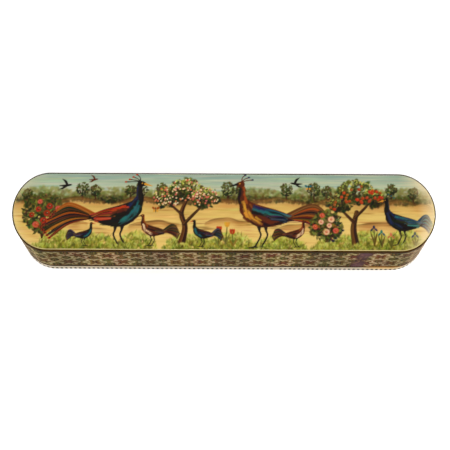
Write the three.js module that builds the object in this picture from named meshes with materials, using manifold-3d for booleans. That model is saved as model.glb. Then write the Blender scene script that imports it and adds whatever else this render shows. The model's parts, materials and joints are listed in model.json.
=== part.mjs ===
// Long pen box with rounded ends: a wooden carcass faced with star marquetry, border strips round
// its foot, a velvet lining, and a flat lid with a painted bone panel. Two small brass butt hinges
// sit in a V groove along the back, and the flanks of that groove stop the open lid.
// Units are millimetres. X runs along the box, -Y is the front, +Z is up, and the origin is the
// middle of the underside.
import * as THREE from "three";
import { mergeVertices } from "three/addons/utils/BufferGeometryUtils.js";
import Module from "manifold-3d";

const wasm = await Module();
wasm.setup();

// Plan of the box
const LENGTH = 230;
const WIDTH = 44.5;
const END_DEPTH = 20; // reach of each rounded end along X

// Carcass
const CASE_HEIGHT = 34; // underside to the top of the walls
const BASE_THICKNESS = 3;
const WALL_THICKNESS = 4;
const LAP_LENGTH = 8; // half-lap between a straight wall and an end block
const GLUE_LINE = 0.05;

// Facing on the outside of the carcass
const SKIN_THICKNESS = 1.2;
const DOTTED_HEIGHT = 2.5;
const BONE_LINE_HEIGHT = 2.6;
const DARK_LINE_HEIGHT = 2.4;

// Lining
const LINING_THICKNESS = 0.8;
const LINING_REVEAL = 1; // bare wood left above the wall lining
const FLOOR_LINING_THICKNESS = 1.2;
const FLOOR_LINING_CLEARANCE = 0.1;
const LID_LINING_THICKNESS = 0.8;
const LID_LINING_CLEARANCE = 0.6;

// Lid
const LID_GAP = 0.2; // between the walls and the closed lid
const LID_BOARD_THICKNESS = 2.5;
const EDGING_THICKNESS = 0.6;
const PANEL_THICKNESS = 0.9;
const PANEL_BEVEL = 0.45;

// Hinges
const HINGE_FROM_END = 35; // from the start of a rounded end to the middle of a hinge
const HINGE_LENGTH = 21;
const HINGE_SETBACK = 1.6; // pin axis in from the back face
const KNUCKLE_RADIUS = 1.2;
const KNUCKLE_GAP = 0.15;
const PIN_RADIUS = 0.6;
const PIN_CLEARANCE = 0.08;
const PIN_CHAMFER = 0.15;
const LEAF_THICKNESS = 0.5;
const LEAF_LAND = 0.4; // wood left between a leaf and the inner face of the wall
const MORTISE_CLEARANCE = 0.15;
const STOP_ANGLE = 100; // degrees that the lid opens
const STOP_SPARE = 2; // degrees left between the groove's flanks when the lid is open

// Hinge nails
const NAIL_SPACING = 13;
const NAIL_HEAD_RADIUS = 0.7;
const NAIL_HEAD_HEIGHT = 0.4;
const NAIL_SHANK_RADIUS = 0.35;
const NAIL_COVER = 0.5; // lid wood left over a nail's point
const NAIL_CLEARANCE = 0.05;

// Fineness of round stretches
const END_SEGMENTS = 12; // per quarter of a rounded end
const ROUND_SEGMENTS = 16;
const NAIL_SEGMENTS = 12;

// Sizes that follow from the ones above
const SPRING_X = LENGTH / 2 - END_DEPTH; // where a straight side turns into a rounded end
const CARCASS_INSET = SKIN_THICKNESS + GLUE_LINE;
const ROOM_INSET = CARCASS_INSET + WALL_THICKNESS;
const LINED_INSET = ROOM_INSET + GLUE_LINE + LINING_THICKNESS;
const BONE_LINE_Z = DOTTED_HEIGHT;
const DARK_LINE_Z = BONE_LINE_Z + BONE_LINE_HEIGHT;
const MARQUETRY_Z = DARK_LINE_Z + DARK_LINE_HEIGHT;
const MARQUETRY_HEIGHT = CASE_HEIGHT - MARQUETRY_Z;
const WALL_HEIGHT = CASE_HEIGHT - BASE_THICKNESS;
const JOINT_PLANE = CASE_HEIGHT + LID_GAP / 2;
const LID_UNDERSIDE = LID_GAP / 2; // above the joint plane
const PANEL_RIM = PANEL_THICKNESS - PANEL_BEVEL; // upright edge below the panel's bevel
const EDGING_HEIGHT = LID_BOARD_THICKNESS + PANEL_RIM;
const AXIS_Y = WIDTH / 2 - HINGE_SETBACK;
const HINGE_X = SPRING_X - HINGE_FROM_END;
const LEAF_WIDTH = ROOM_INSET - HINGE_SETBACK - LEAF_LAND;
const KNUCKLE_LENGTH = (HINGE_LENGTH - 2 * KNUCKLE_GAP) / 3;
const KNUCKLE_STEP = KNUCKLE_LENGTH + KNUCKLE_GAP;
const NAIL_LENGTH = LID_BOARD_THICKNESS - NAIL_COVER;
const NAIL_Y = -(LEAF_WIDTH + KNUCKLE_RADIUS) / 2; // middle of a leaf's free width
const GROOVE_FLANK = THREE.MathUtils.degToRad((STOP_ANGLE + STOP_SPARE) / 2);

// Colour, roughness and metalness of each finish
const FINISH = {
  carcass: [0x8a5a30, 0.55, 0],
  marquetry: [0x73603f, 0.3, 0],
  dotted: [0xa09684, 0.35, 0],
  bone: [0xe3d3b0, 0.35, 0],
  ebony: [0x2c1c0c, 0.3, 0],
  painted: [0xc9b87a, 0.2, 0],
  velvet: [0x6e1420, 0.95, 0],
  brass: [0xb08a45, 0.35, 1],
};

// Booleans on closed geometries

function solidOf(geometry) {
  const bare = geometry.index ? geometry.toNonIndexed() : geometry.clone();
  bare.deleteAttribute("normal");
  bare.deleteAttribute("uv");
  const merged = mergeVertices(bare);
  const triangles = [];
  for (let i = 0; i < merged.index.count; i += 3) {
    const [a, b, c] = merged.index.array.slice(i, i + 3);
    if (a !== b && b !== c && c !== a) triangles.push(a, b, c);
  }
  return new wasm.Manifold(
    new wasm.Mesh({
      numProp: 3,
      vertProperties: merged.attributes.position.array,
      triVerts: new Uint32Array(triangles),
    }),
  );
}

function geometryOf(solid) {
  const mesh = solid.getMesh();
  const geometry = new THREE.BufferGeometry();
  geometry.setAttribute("position", new THREE.BufferAttribute(mesh.vertProperties, mesh.numProp));
  geometry.setIndex(new THREE.BufferAttribute(mesh.triVerts, 1));
  geometry.computeVertexNormals();
  return geometry;
}

const join = (geometry, ...others) =>
  geometryOf(others.reduce((solid, other) => solid.add(solidOf(other)), solidOf(geometry)));

const cut = (geometry, ...tools) =>
  geometryOf(tools.reduce((solid, tool) => solid.subtract(solidOf(tool)), solidOf(geometry)));

// Plan outlines and what is drawn up from them

// The box's outline drawn in by `inset` all round, as a shape or as a hole in one. The straight
// sides join the two half-ellipses.
function outline(inset, path = new THREE.Shape()) {
  const reach = END_DEPTH - inset;
  const half = WIDTH / 2 - inset;
  path.absellipse(SPRING_X, 0, reach, half, -Math.PI / 2, Math.PI / 2, false);
  path.absellipse(-SPRING_X, 0, reach, half, Math.PI / 2, (3 * Math.PI) / 2, false);
  return path;
}

function ringOutline(outerInset, innerInset) {
  const ring = outline(outerInset);
  ring.holes.push(outline(innerInset, new THREE.Path()));
  return ring;
}

// The right-hand rounded end between two insets. With `tongue`, half-lap tongues of that length
// run back along the inner side of both straight walls.
function endOutline(outerInset, innerInset, tongue = 0) {
  const outerHalf = WIDTH / 2 - outerInset;
  const innerHalf = WIDTH / 2 - innerInset;
  const lapHalf = (outerHalf + innerHalf - GLUE_LINE) / 2;
  const end = new THREE.Shape();
  end.absellipse(SPRING_X, 0, END_DEPTH - outerInset, outerHalf, -Math.PI / 2, Math.PI / 2, false);
  if (tongue > 0) {
    end.lineTo(SPRING_X, lapHalf);
    end.lineTo(SPRING_X - tongue, lapHalf);
    end.lineTo(SPRING_X - tongue, innerHalf);
  }
  end.absellipse(SPRING_X, 0, END_DEPTH - innerInset, innerHalf, Math.PI / 2, -Math.PI / 2, true);
  if (tongue > 0) {
    end.lineTo(SPRING_X - tongue, -innerHalf);
    end.lineTo(SPRING_X - tongue, -lapHalf);
    end.lineTo(SPRING_X, -lapHalf);
  }
  return end;
}

// A straight wall seen from above, on the +Y side: full thickness between the tongues of the end
// blocks, and the outer half of the lap beside them.
function wallOutline() {
  const outer = WIDTH / 2 - CARCASS_INSET;
  const inner = WIDTH / 2 - ROOM_INSET;
  const lap = (outer + inner + GLUE_LINE) / 2;
  const longHalf = SPRING_X - GLUE_LINE;
  const shortHalf = SPRING_X - LAP_LENGTH - GLUE_LINE;
  const wall = new THREE.Shape();
  wall.moveTo(-shortHalf, inner);
  wall.lineTo(shortHalf, inner);
  wall.lineTo(shortHalf, lap);
  wall.lineTo(longHalf, lap);
  wall.lineTo(longHalf, outer);
  wall.lineTo(-longHalf, outer);
  wall.lineTo(-longHalf, lap);
  wall.lineTo(-shortHalf, lap);
  return wall;
}

const rise = (shape, height, base) =>
  new THREE.ExtrudeGeometry(shape, {
    depth: height,
    bevelEnabled: false,
    curveSegments: END_SEGMENTS,
  }).translate(0, 0, base);

// A block of the given sizes with its lowest corner at `low`.
const block = (sizes, low) =>
  new THREE.BoxGeometry(...sizes).translate(...low.map((start, i) => start + sizes[i] / 2));

const barrel = (radius, length, x = 0) =>
  new THREE.CylinderGeometry(radius, radius, length, ROUND_SEGMENTS)
    .rotateZ(Math.PI / 2)
    .translate(x, 0, 0);

// The front half of the box and the left end are the other half and end, turned round.
const turnRound = (geometry) => geometry.rotateZ(Math.PI);

// Hinge parts and the cuts for them. In their frame the pin axis is X, and z = 0 is the joint
// plane. A hinge is alike from end to end, so what is let into the wall fits the lid turned over.
const turnOver = (geometry) => geometry.rotateY(Math.PI);

// One countersunk nail in the wall with its head flush with the leaf, thicker by `clearance`.
function nail(x, clearance = 0) {
  const head = NAIL_HEAD_RADIUS + clearance;
  const shank = NAIL_SHANK_RADIUS + clearance;
  const depth = NAIL_LENGTH + clearance;
  const profile = [
    new THREE.Vector2(0, -depth),
    new THREE.Vector2(shank, shank - depth),
    new THREE.Vector2(shank, -NAIL_HEAD_HEIGHT),
    new THREE.Vector2(head, 0),
    new THREE.Vector2(0, 0),
  ];
  return new THREE.LatheGeometry(profile, NAIL_SEGMENTS)
    .rotateX(Math.PI / 2)
    .translate(x, NAIL_Y, -LID_UNDERSIDE);
}

const nailXs = [-NAIL_SPACING / 2, NAIL_SPACING / 2];
const nailHoles = () => nailXs.map((x) => nail(x, NAIL_CLEARANCE));

// The V groove along the back. Its flanks meet at the pin axis and close on each other when the
// lid is open.
function groove() {
  const reach = 2 * HINGE_SETBACK;
  const spread = reach * Math.tan(GROOVE_FLANK);
  const section = new THREE.Shape();
  section.moveTo(0, 0);
  section.lineTo(reach, -spread);
  section.lineTo(reach, spread);
  return new THREE.ExtrudeGeometry(section, { depth: LENGTH, bevelEnabled: false })
    .translate(0, 0, -LENGTH / 2)
    .rotateX(Math.PI / 2)
    .rotateZ(Math.PI / 2);
}

const barrelRoom = () =>
  barrel(KNUCKLE_RADIUS + MORTISE_CLEARANCE, HINGE_LENGTH + 2 * MORTISE_CLEARANCE);

const leafMortise = () =>
  block(
    [HINGE_LENGTH + 2 * MORTISE_CLEARANCE, LEAF_WIDTH + MORTISE_CLEARANCE, LEAF_THICKNESS + LID_GAP],
    [
      -HINGE_LENGTH / 2 - MORTISE_CLEARANCE,
      -LEAF_WIDTH - MORTISE_CLEARANCE,
      -LID_UNDERSIDE - LEAF_THICKNESS,
    ],
  );

// Both hinges' copies of what `make` gives, moved to the pin axis at height `z`.
const atHinges = (z, make) =>
  [-HINGE_X, HINGE_X].flatMap((x) => make().map((tool) => tool.translate(x, AXIS_Y, z)));

const atAxis = (z) => groove().translate(0, AXIS_Y, z);

// A leaf in the wall, with its own knuckles at `own` steps along the pin and room for the other
// leaf's knuckles at `other` steps.
function leaf(own, other) {
  const plate = block(
    [HINGE_LENGTH, LEAF_WIDTH, LEAF_THICKNESS],
    [-HINGE_LENGTH / 2, -LEAF_WIDTH, -LID_UNDERSIDE - LEAF_THICKNESS],
  );
  const notchReach = KNUCKLE_RADIUS + KNUCKLE_GAP;
  const notchLength = KNUCKLE_LENGTH + 2 * KNUCKLE_GAP;
  const notches = other.map((step) =>
    block(
      [notchLength, 2 * notchReach, 2 * notchReach],
      [step * KNUCKLE_STEP - notchLength / 2, -notchReach, -notchReach],
    ),
  );
  const knuckles = own.map((step) => barrel(KNUCKLE_RADIUS, KNUCKLE_LENGTH, step * KNUCKLE_STEP));
  const bore = barrel(PIN_RADIUS + PIN_CLEARANCE, HINGE_LENGTH + 2 * KNUCKLE_GAP);
  return cut(join(cut(plate, ...notches), ...knuckles), bore, ...nailHoles());
}

const caseLeaf = () => leaf([-1, 1], [0]);
const lidLeaf = () => turnOver(leaf([0], [-1, 1]));

function pin() {
  const half = HINGE_LENGTH / 2;
  const profile = [
    new THREE.Vector2(0, -half),
    new THREE.Vector2(PIN_RADIUS - PIN_CHAMFER, -half),
    new THREE.Vector2(PIN_RADIUS, PIN_CHAMFER - half),
    new THREE.Vector2(PIN_RADIUS, half - PIN_CHAMFER),
    new THREE.Vector2(PIN_RADIUS - PIN_CHAMFER, half),
    new THREE.Vector2(0, half),
  ];
  return new THREE.LatheGeometry(profile, ROUND_SEGMENTS).rotateZ(Math.PI / 2);
}

// The bone panel: an upright rim that the edging covers, then a bevel up to the painted face.
function bevelledPanel(base) {
  const inset = EDGING_THICKNESS + GLUE_LINE;
  const bevelled = new THREE.ExtrudeGeometry(outline(inset), {
    depth: PANEL_RIM,
    bevelThickness: PANEL_BEVEL,
    bevelSize: PANEL_BEVEL,
    bevelOffset: -PANEL_BEVEL,
    bevelSegments: 1,
    curveSegments: END_SEGMENTS,
  });
  const below = block([LENGTH, WIDTH, PANEL_BEVEL], [-LENGTH / 2, -WIDTH / 2, -PANEL_BEVEL]);
  return cut(bevelled, below).translate(0, 0, base);
}

// Assembly

function add(parent, name, [color, roughness, metalness], geometry) {
  const mesh = new THREE.Mesh(
    geometry,
    new THREE.MeshStandardMaterial({ color, roughness, metalness }),
  );
  mesh.name = name;
  parent.add(mesh);
}

function makeCarcass() {
  const carcass = new THREE.Group();
  const wall = () => rise(wallOutline(), WALL_HEIGHT, BASE_THICKNESS);
  const end = () => rise(endOutline(CARCASS_INSET, ROOM_INSET, LAP_LENGTH), WALL_HEIGHT, BASE_THICKNESS);
  const hingeCuts = atHinges(JOINT_PLANE, () => [leafMortise(), barrelRoom(), ...nailHoles()]);
  add(carcass, "base_board", FINISH.carcass, rise(outline(CARCASS_INSET), BASE_THICKNESS, 0));
  add(carcass, "front_wall", FINISH.carcass, turnRound(wall()));
  add(carcass, "back_wall", FINISH.carcass, cut(wall(), atAxis(JOINT_PLANE), ...hingeCuts));
  add(carcass, "right_end_block", FINISH.carcass, cut(end(), atAxis(JOINT_PLANE)));
  add(carcass, "left_end_block", FINISH.carcass, cut(turnRound(end()), atAxis(JOINT_PLANE)));
  return carcass;
}

function makeFacing() {
  const facing = new THREE.Group();
  const strip = (height, base) => rise(ringOutline(0, SKIN_THICKNESS), height, base);
  const sheetHalf = SPRING_X - GLUE_LINE;
  const sheet = () =>
    block(
      [2 * sheetHalf, SKIN_THICKNESS, MARQUETRY_HEIGHT],
      [-sheetHalf, WIDTH / 2 - SKIN_THICKNESS, MARQUETRY_Z],
    );
  const end = () => rise(endOutline(0, SKIN_THICKNESS), MARQUETRY_HEIGHT, MARQUETRY_Z);
  const barrelCuts = atHinges(JOINT_PLANE, () => [barrelRoom()]);
  const back = cut(sheet(), atAxis(JOINT_PLANE), ...barrelCuts);
  add(facing, "dotted_border", FINISH.dotted, strip(DOTTED_HEIGHT, 0));
  add(facing, "bone_line", FINISH.bone, strip(BONE_LINE_HEIGHT, BONE_LINE_Z));
  add(facing, "lower_dark_line", FINISH.ebony, strip(DARK_LINE_HEIGHT, DARK_LINE_Z));
  add(facing, "front_marquetry", FINISH.marquetry, turnRound(sheet()));
  add(facing, "back_marquetry", FINISH.marquetry, back);
  add(facing, "right_end_marquetry", FINISH.marquetry, cut(end(), atAxis(JOINT_PLANE)));
  add(facing, "left_end_marquetry", FINISH.marquetry, cut(turnRound(end()), atAxis(JOINT_PLANE)));
  return facing;
}

function makeLining() {
  const lining = new THREE.Group();
  const wallHeight = WALL_HEIGHT - LINING_REVEAL;
  const walls = rise(ringOutline(ROOM_INSET + GLUE_LINE, LINED_INSET), wallHeight, BASE_THICKNESS);
  const floor = outline(LINED_INSET + FLOOR_LINING_CLEARANCE);
  add(lining, "wall_lining", FINISH.velvet, walls);
  add(lining, "floor_lining", FINISH.velvet, rise(floor, FLOOR_LINING_THICKNESS, BASE_THICKNESS));
  return lining;
}

function makeLid() {
  const lid = new THREE.Group();
  lid.position.z = JOINT_PLANE;
  const boardCuts = atHinges(0, () => [leafMortise(), barrelRoom(), ...nailHoles()].map(turnOver));
  const barrelCuts = atHinges(0, () => [barrelRoom()]);
  const board = rise(outline(EDGING_THICKNESS + GLUE_LINE), LID_BOARD_THICKNESS, LID_UNDERSIDE);
  const edging = rise(ringOutline(0, EDGING_THICKNESS), EDGING_HEIGHT, LID_UNDERSIDE);
  const lining = outline(LINED_INSET + LID_LINING_CLEARANCE);
  const liningBase = LID_UNDERSIDE - LID_LINING_THICKNESS;
  add(lid, "lid_board", FINISH.carcass, cut(board, atAxis(0), ...boardCuts));
  add(lid, "lid_edging", FINISH.ebony, cut(edging, atAxis(0), ...barrelCuts));
  add(lid, "painted_panel", FINISH.painted, bevelledPanel(LID_UNDERSIDE + LID_BOARD_THICKNESS));
  add(lid, "lid_lining", FINISH.velvet, rise(lining, LID_LINING_THICKNESS, liningBase));
  return lid;
}

function makeHinge(side, x) {
  const hinge = new THREE.Group();
  hinge.position.set(x, AXIS_Y, JOINT_PLANE);
  add(hinge, `${side}_hinge_case_leaf`, FINISH.brass, caseLeaf());
  add(hinge, `${side}_hinge_lid_leaf`, FINISH.brass, lidLeaf());
  add(hinge, `${side}_hinge_pin`, FINISH.brass, pin());
  nailXs.forEach((nailX, i) => {
    add(hinge, `${side}_hinge_case_nail_${i + 1}`, FINISH.brass, nail(nailX));
    add(hinge, `${side}_hinge_lid_nail_${i + 1}`, FINISH.brass, turnOver(nail(nailX)));
  });
  return hinge;
}

const penBox = new THREE.Group();
penBox.add(makeCarcass(), makeFacing(), makeLining(), makeLid());
penBox.add(makeHinge("left", -HINGE_X), makeHinge("right", HINGE_X));

export default penBox;
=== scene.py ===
# %% [markdown]
# # A painted pen box
# This lesson dresses a long pen box with rounded ends. Its carcass and hinges come from a CAD frame
# that is already at its real size. What we add is what a hand would feel and an eye would see: a
# mosaic of small rods on the sides, strips of bone and dark wood round the foot, a painted and
# varnished bone panel on the lid, and a velvet lining inside.
# The frame is loaded first, and its box is kept, so that at the end we can see that nothing grew.

# %% Load the frame
import json
import math
from collections import namedtuple

import bmesh
import bpy
import numpy as np
from mathutils import Matrix, Vector


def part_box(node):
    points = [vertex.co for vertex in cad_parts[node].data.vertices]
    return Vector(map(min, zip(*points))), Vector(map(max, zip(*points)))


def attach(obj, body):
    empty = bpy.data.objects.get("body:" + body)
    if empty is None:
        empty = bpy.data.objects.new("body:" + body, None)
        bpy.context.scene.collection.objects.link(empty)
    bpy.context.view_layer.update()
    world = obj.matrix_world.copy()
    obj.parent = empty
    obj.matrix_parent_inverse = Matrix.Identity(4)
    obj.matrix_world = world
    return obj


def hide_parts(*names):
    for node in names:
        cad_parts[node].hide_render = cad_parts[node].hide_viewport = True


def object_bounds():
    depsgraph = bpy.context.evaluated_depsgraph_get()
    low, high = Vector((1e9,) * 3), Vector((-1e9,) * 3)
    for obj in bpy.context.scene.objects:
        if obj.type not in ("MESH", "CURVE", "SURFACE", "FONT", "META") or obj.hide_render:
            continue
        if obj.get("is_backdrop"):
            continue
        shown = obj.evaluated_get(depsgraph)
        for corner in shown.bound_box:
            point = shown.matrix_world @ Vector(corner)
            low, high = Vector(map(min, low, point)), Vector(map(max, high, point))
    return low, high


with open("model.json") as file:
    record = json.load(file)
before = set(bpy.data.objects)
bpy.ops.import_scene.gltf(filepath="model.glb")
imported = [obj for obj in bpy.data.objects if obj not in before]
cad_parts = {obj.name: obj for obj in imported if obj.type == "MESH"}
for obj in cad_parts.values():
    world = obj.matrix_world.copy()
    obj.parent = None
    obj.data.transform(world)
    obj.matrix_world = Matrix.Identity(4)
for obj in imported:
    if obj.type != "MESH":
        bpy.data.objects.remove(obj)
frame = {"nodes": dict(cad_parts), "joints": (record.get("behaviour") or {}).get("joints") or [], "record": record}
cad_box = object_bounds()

print("nodes in the frame:", len(frame["nodes"]))

# %% [markdown]
# ## Sizes come from the frame
# A box like this is drawn once, as an outline seen from above: two straight sides and two half
# ellipses. Every strip and sheet follows that outline, so we measure it on the frame's own pieces
# and never type a size twice. Lengths are in metres, and MM lets us write millimetres.

# %% Measure the outline
MM = 0.001
GLUE_LINE = 0.05 * MM


def low(node):
    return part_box(node)[0]


def high(node):
    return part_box(node)[1]


HALF_LENGTH = high("lid_edging").x
HALF_WIDTH = high("lid_edging").y
SPRING_X = high("front_marquetry").x + GLUE_LINE
END_DEPTH = HALF_LENGTH - SPRING_X
SKIN = high("front_marquetry").y - low("front_marquetry").y
LID_TOP = high("painted_panel").z
print(f"outline {2 * HALF_LENGTH / MM:.1f} x {2 * HALF_WIDTH / MM:.1f} mm")
print(f"the rounded ends are {END_DEPTH / MM:.1f} mm deep")

# %% [markdown]
# ## Walking round the box
# Strips and mosaic are easiest to plan flat, as a distance walked round the box and a height, as if
# the facing were unrolled on the bench. This helper rolls such a distance back onto the outline. An
# ellipse has no simple formula for its length, so the rounded end is walked in small steps once.
# Half a round trip later the point is the same one, turned about the middle.

# %% A point on the outline
END_STEPS = 720
end_angles = np.linspace(-math.pi / 2, math.pi / 2, END_STEPS + 1)
end_steps = np.hypot(
    np.diff(END_DEPTH * np.cos(end_angles)),
    np.diff(HALF_WIDTH * np.sin(end_angles)),
)
end_walk = np.concatenate([[0], np.cumsum(end_steps)])
END_ARC = end_walk[-1]
PERIMETER = 4 * SPRING_X + 2 * END_ARC


def around(walked, inset=0.0):
    """The point `walked` metres to the right of the middle of the front, drawn in by `inset`."""
    half_turns, along = divmod(walked + SPRING_X, PERIMETER / 2)
    sign = -1 if int(half_turns) % 2 else 1
    if along <= 2 * SPRING_X:
        return sign * (along - SPRING_X), -sign * (HALF_WIDTH - inset)
    angle = np.interp(along - 2 * SPRING_X, end_walk, end_angles)
    x = SPRING_X + (END_DEPTH - inset) * math.cos(angle)
    return sign * x, sign * (HALF_WIDTH - inset) * math.sin(angle)


print(f"once round is {PERIMETER / MM:.1f} mm")

# %% [markdown]
# ## The camera
# The box is seen from the front and from well above, with a long lens. A longer lens from further
# away flattens the far edge; this distance gives the slight narrowing that the eye expects. The
# camera is turned by a hair, because the box doesn't lie quite level in the picture.

# %% Place the camera
VIEW_ELEVATION = math.radians(72.7)
VIEW_DISTANCE = 582 * MM
VIEW_ROLL = math.radians(0.27)
LENS = 86.2
AIM = Vector((0.6 * MM, -7.55 * MM, LID_TOP))

camera_data = bpy.data.cameras.new("camera")
camera_data.lens = LENS
camera = bpy.data.objects.new("camera", camera_data)
bpy.context.scene.collection.objects.link(camera)
away = Vector((0, -math.cos(VIEW_ELEVATION), math.sin(VIEW_ELEVATION)))
camera.location = AIM + VIEW_DISTANCE * away
look = (-away).to_track_quat("-Z", "Y").to_matrix().to_4x4()
camera.rotation_euler = (look @ Matrix.Rotation(VIEW_ROLL, 4, "Z")).to_euler()
bpy.context.scene.camera = camera
print("camera at", [round(c / MM) for c in camera.location], "mm")

# %% [markdown]
# ## Nodes and colours
# A material is a small machine of nodes. Wiring each by hand would bury the recipe, so one helper adds
# a node and fills its sockets, with a value or with a wire from another node. Colours are typed as the
# 0 to 255 numbers of a paint chart, and `linear` undoes the chart's sRGB curve for the shaders.

# %% Add a node
WHITE = (1.0, 1.0, 1.0, 1.0)


def linear(colour):
    """A paint chart colour as the linear colour that shaders use."""
    share = np.asarray(colour, float) / 255
    return np.where(share <= 0.04045, share / 12.92, ((share + 0.055) / 1.055) ** 2.4)


def rgba(colour):
    return (*(float(c) for c in linear(colour)), 1.0)


def fill(tree, socket, value):
    """Wires another node's socket to this one, or sets its plain value."""
    if isinstance(value, bpy.types.NodeSocket):
        tree.links.new(value, socket)
    else:
        socket.default_value = value


def add(tree, kind, inputs=None, **settings):
    """A new node with its settings made and its inputs filled."""
    made = tree.nodes.new(kind)
    for name, value in settings.items():
        setattr(made, name, value)
    for name, value in (inputs or {}).items():
        fill(tree, made.inputs[name], value)
    return made


print("white on a paint chart is", rgba((255, 255, 255)))

# %% [markdown]
# ## The nodes that most finishes use
# Only a handful of nodes come up again and again: a mix of two colours, a value stretched between two
# ends, a tint, a cloudy noise and a bump. Each gets a short name and hands on the socket that we
# want, so that a recipe reads from the inside out. A noise seldom leaves the middle of its range, so
# `stretch_noise` spreads that middle over the whole.

# %% Name the common nodes
NOISE_LOW = 0.3
NOISE_HIGH = 0.7


def mix(tree, factor, first, second, blend="MIX"):
    """The colour socket of a Mix node between two colours."""
    made = add(tree, "ShaderNodeMix", data_type="RGBA", blend_type=blend)
    colours = [s for s in made.inputs if s.type == "RGBA"]
    fill(tree, made.inputs["Factor"], factor)
    fill(tree, colours[0], first)
    fill(tree, colours[1], second)
    return next(s for s in made.outputs if s.type == "RGBA")


def attribute(tree, name, output="Fac"):
    return add(tree, "ShaderNodeAttribute", attribute_name=name).outputs[output]


def calculate(tree, operation, first, second):
    return add(tree, "ShaderNodeMath", {0: first, 1: second}, operation=operation).outputs[0]


def span(tree, value, start, stop, low_end=0.0, high_end=1.0):
    """`value` between start and stop, stretched to lie between two ends."""
    ends = {"From Min": start, "From Max": stop, "To Min": low_end, "To Max": high_end}
    return add(tree, "ShaderNodeMapRange", {"Value": value, **ends}).outputs["Result"]


def between(tree, mask, low_end, high_end):
    """A mask from 0 to 1 as a value between two ends."""
    return span(tree, mask, 0.0, 1.0, low_end, high_end)


def tint(tree, colour, value, hue=0.5):
    """A colour made lighter or darker by `value`, and turned in hue, where 0.5 leaves it."""
    inputs = {"Hue": hue, "Value": value, "Color": colour}
    return add(tree, "ShaderNodeHueSaturation", inputs).outputs["Color"]


def object_place(tree):
    return add(tree, "ShaderNodeTexCoord").outputs["Object"]


def noise(tree, place, scale, detail, **more):
    inputs = {"Vector": place, "Scale": scale, "Detail": detail, **more}
    return add(tree, "ShaderNodeTexNoise", inputs).outputs["Fac"]


def stretch_noise(tree, value, low_end=0.0, high_end=1.0):
    return span(tree, value, NOISE_LOW, NOISE_HIGH, low_end, high_end)


def bump(tree, height, depth):
    """A normal socket that raises a surface by up to `depth` metres."""
    made = add(tree, "ShaderNodeBump", {"Height": height, "Distance": depth, "Strength": 1.0})
    return made.outputs["Normal"]


print("noise is stretched from", NOISE_LOW, "to", NOISE_HIGH)

# %% [markdown]
# ## Effects that several finishes share
# Old varnish is never even, wood has grain, and edges that hands touch go pale. Each of these could be
# wired anew in every material, but a node group is built once and placed where it is needed. A group
# only puts out colours, masks and heights, and the shader itself stays in the material.
# `uneven_tone` lightens and darkens a colour in soft clouds. `fibre` gives thin streaks and pores
# that are drawn out along the box, for wood and bone.

# %% Uneven tone and fibre
COLOUR = "NodeSocketColor"
VALUE = "NodeSocketFloat"
PORE_REACH = 0.35  # of a cell, where a pore's slope ends


def new_group(name, inputs, outputs):
    """A node group with inputs, given by their default values, and outputs, given by their kinds."""
    group = bpy.data.node_groups.new(name, "ShaderNodeTree")
    for socket, value in inputs.items():
        kind = COLOUR if isinstance(value, tuple) else VALUE
        group.interface.new_socket(socket, in_out="INPUT", socket_type=kind).default_value = value
    for socket, kind in outputs.items():
        group.interface.new_socket(socket, in_out="OUTPUT", socket_type=kind)
    given = group.nodes.new("NodeGroupInput").outputs
    result = group.nodes.new("NodeGroupOutput").inputs
    return group, given, result


def make_uneven_tone():
    inputs = {"Color": WHITE, "Amount": 0.2, "Scale": 60.0}
    group, given, result = new_group("uneven_tone", inputs, {"Color": COLOUR})
    cloud = noise(group, object_place(group), given["Scale"], detail=4.0, Roughness=0.6)
    swing = calculate(group, "MULTIPLY", stretch_noise(group, cloud, -1.0, 1.0), given["Amount"])
    lightness = calculate(group, "ADD", swing, 1.0)
    fill(group, result["Color"], tint(group, given["Color"], lightness))
    return group


def make_fibre():
    inputs = {"Length": 14.0, "Scale": 900.0}
    group, given, result = new_group("fibre", inputs, {"Streak": VALUE, "Pore": VALUE})
    squeeze = calculate(group, "DIVIDE", 1.0, given["Length"])
    stretch = add(group, "ShaderNodeCombineXYZ", {"X": squeeze, "Y": 1.0, "Z": 1.0}).outputs[0]
    factors = {0: object_place(group), 1: stretch}
    along = add(group, "ShaderNodeVectorMath", factors, operation="MULTIPLY").outputs[0]
    streak = noise(group, along, given["Scale"], detail=5.0, Distortion=0.6)
    pore = add(group, "ShaderNodeTexVoronoi", {"Vector": along, "Scale": given["Scale"]})
    fill(group, result["Streak"], stretch_noise(group, streak))
    fill(group, result["Pore"], span(group, pore.outputs["Distance"], 0.0, PORE_REACH))
    return group


UNEVEN_TONE = make_uneven_tone()
FIBRE = make_fibre()
print("node groups:", UNEVEN_TONE.name, "and", FIBRE.name)

# %% [markdown]
# ## Wear and varnish
# Two more groups age a finish. `rubbed` breaks up a mask of edges into worn spots: noise is added to
# the wear, and only what passes a threshold shows, so that more wear makes more and larger spots.
# `old_varnish` lays a yellowed film of uneven thickness over a colour, by multiplying the two.

# %% Worn spots and old varnish
WORN_FROM = 0.75  # noise and wear added up, where a spot begins to show
THIN_FILM = 0.8  # of the varnish's full tint, where the film is thinnest


def make_rubbed():
    inputs = {"Edge": 0.0, "Amount": 0.5, "Scale": 300.0}
    group, given, result = new_group("rubbed", inputs, {"Mask": VALUE})
    spots = noise(group, object_place(group), given["Scale"], detail=6.0)
    worn = span(group, calculate(group, "ADD", spots, given["Amount"]), WORN_FROM, 1.0)
    fill(group, result["Mask"], calculate(group, "MULTIPLY", worn, given["Edge"]))
    return group


def make_old_varnish():
    inputs = {"Color": WHITE, "Tint": WHITE, "Scale": 40.0}
    group, given, result = new_group("old_varnish", inputs, {"Color": COLOUR})
    cloud = noise(group, object_place(group), given["Scale"], detail=3.0)
    film = mix(group, stretch_noise(group, cloud, THIN_FILM, 1.0), WHITE, given["Tint"])
    fill(group, result["Color"], mix(group, 1.0, given["Color"], film, "MULTIPLY"))
    return group


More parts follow.
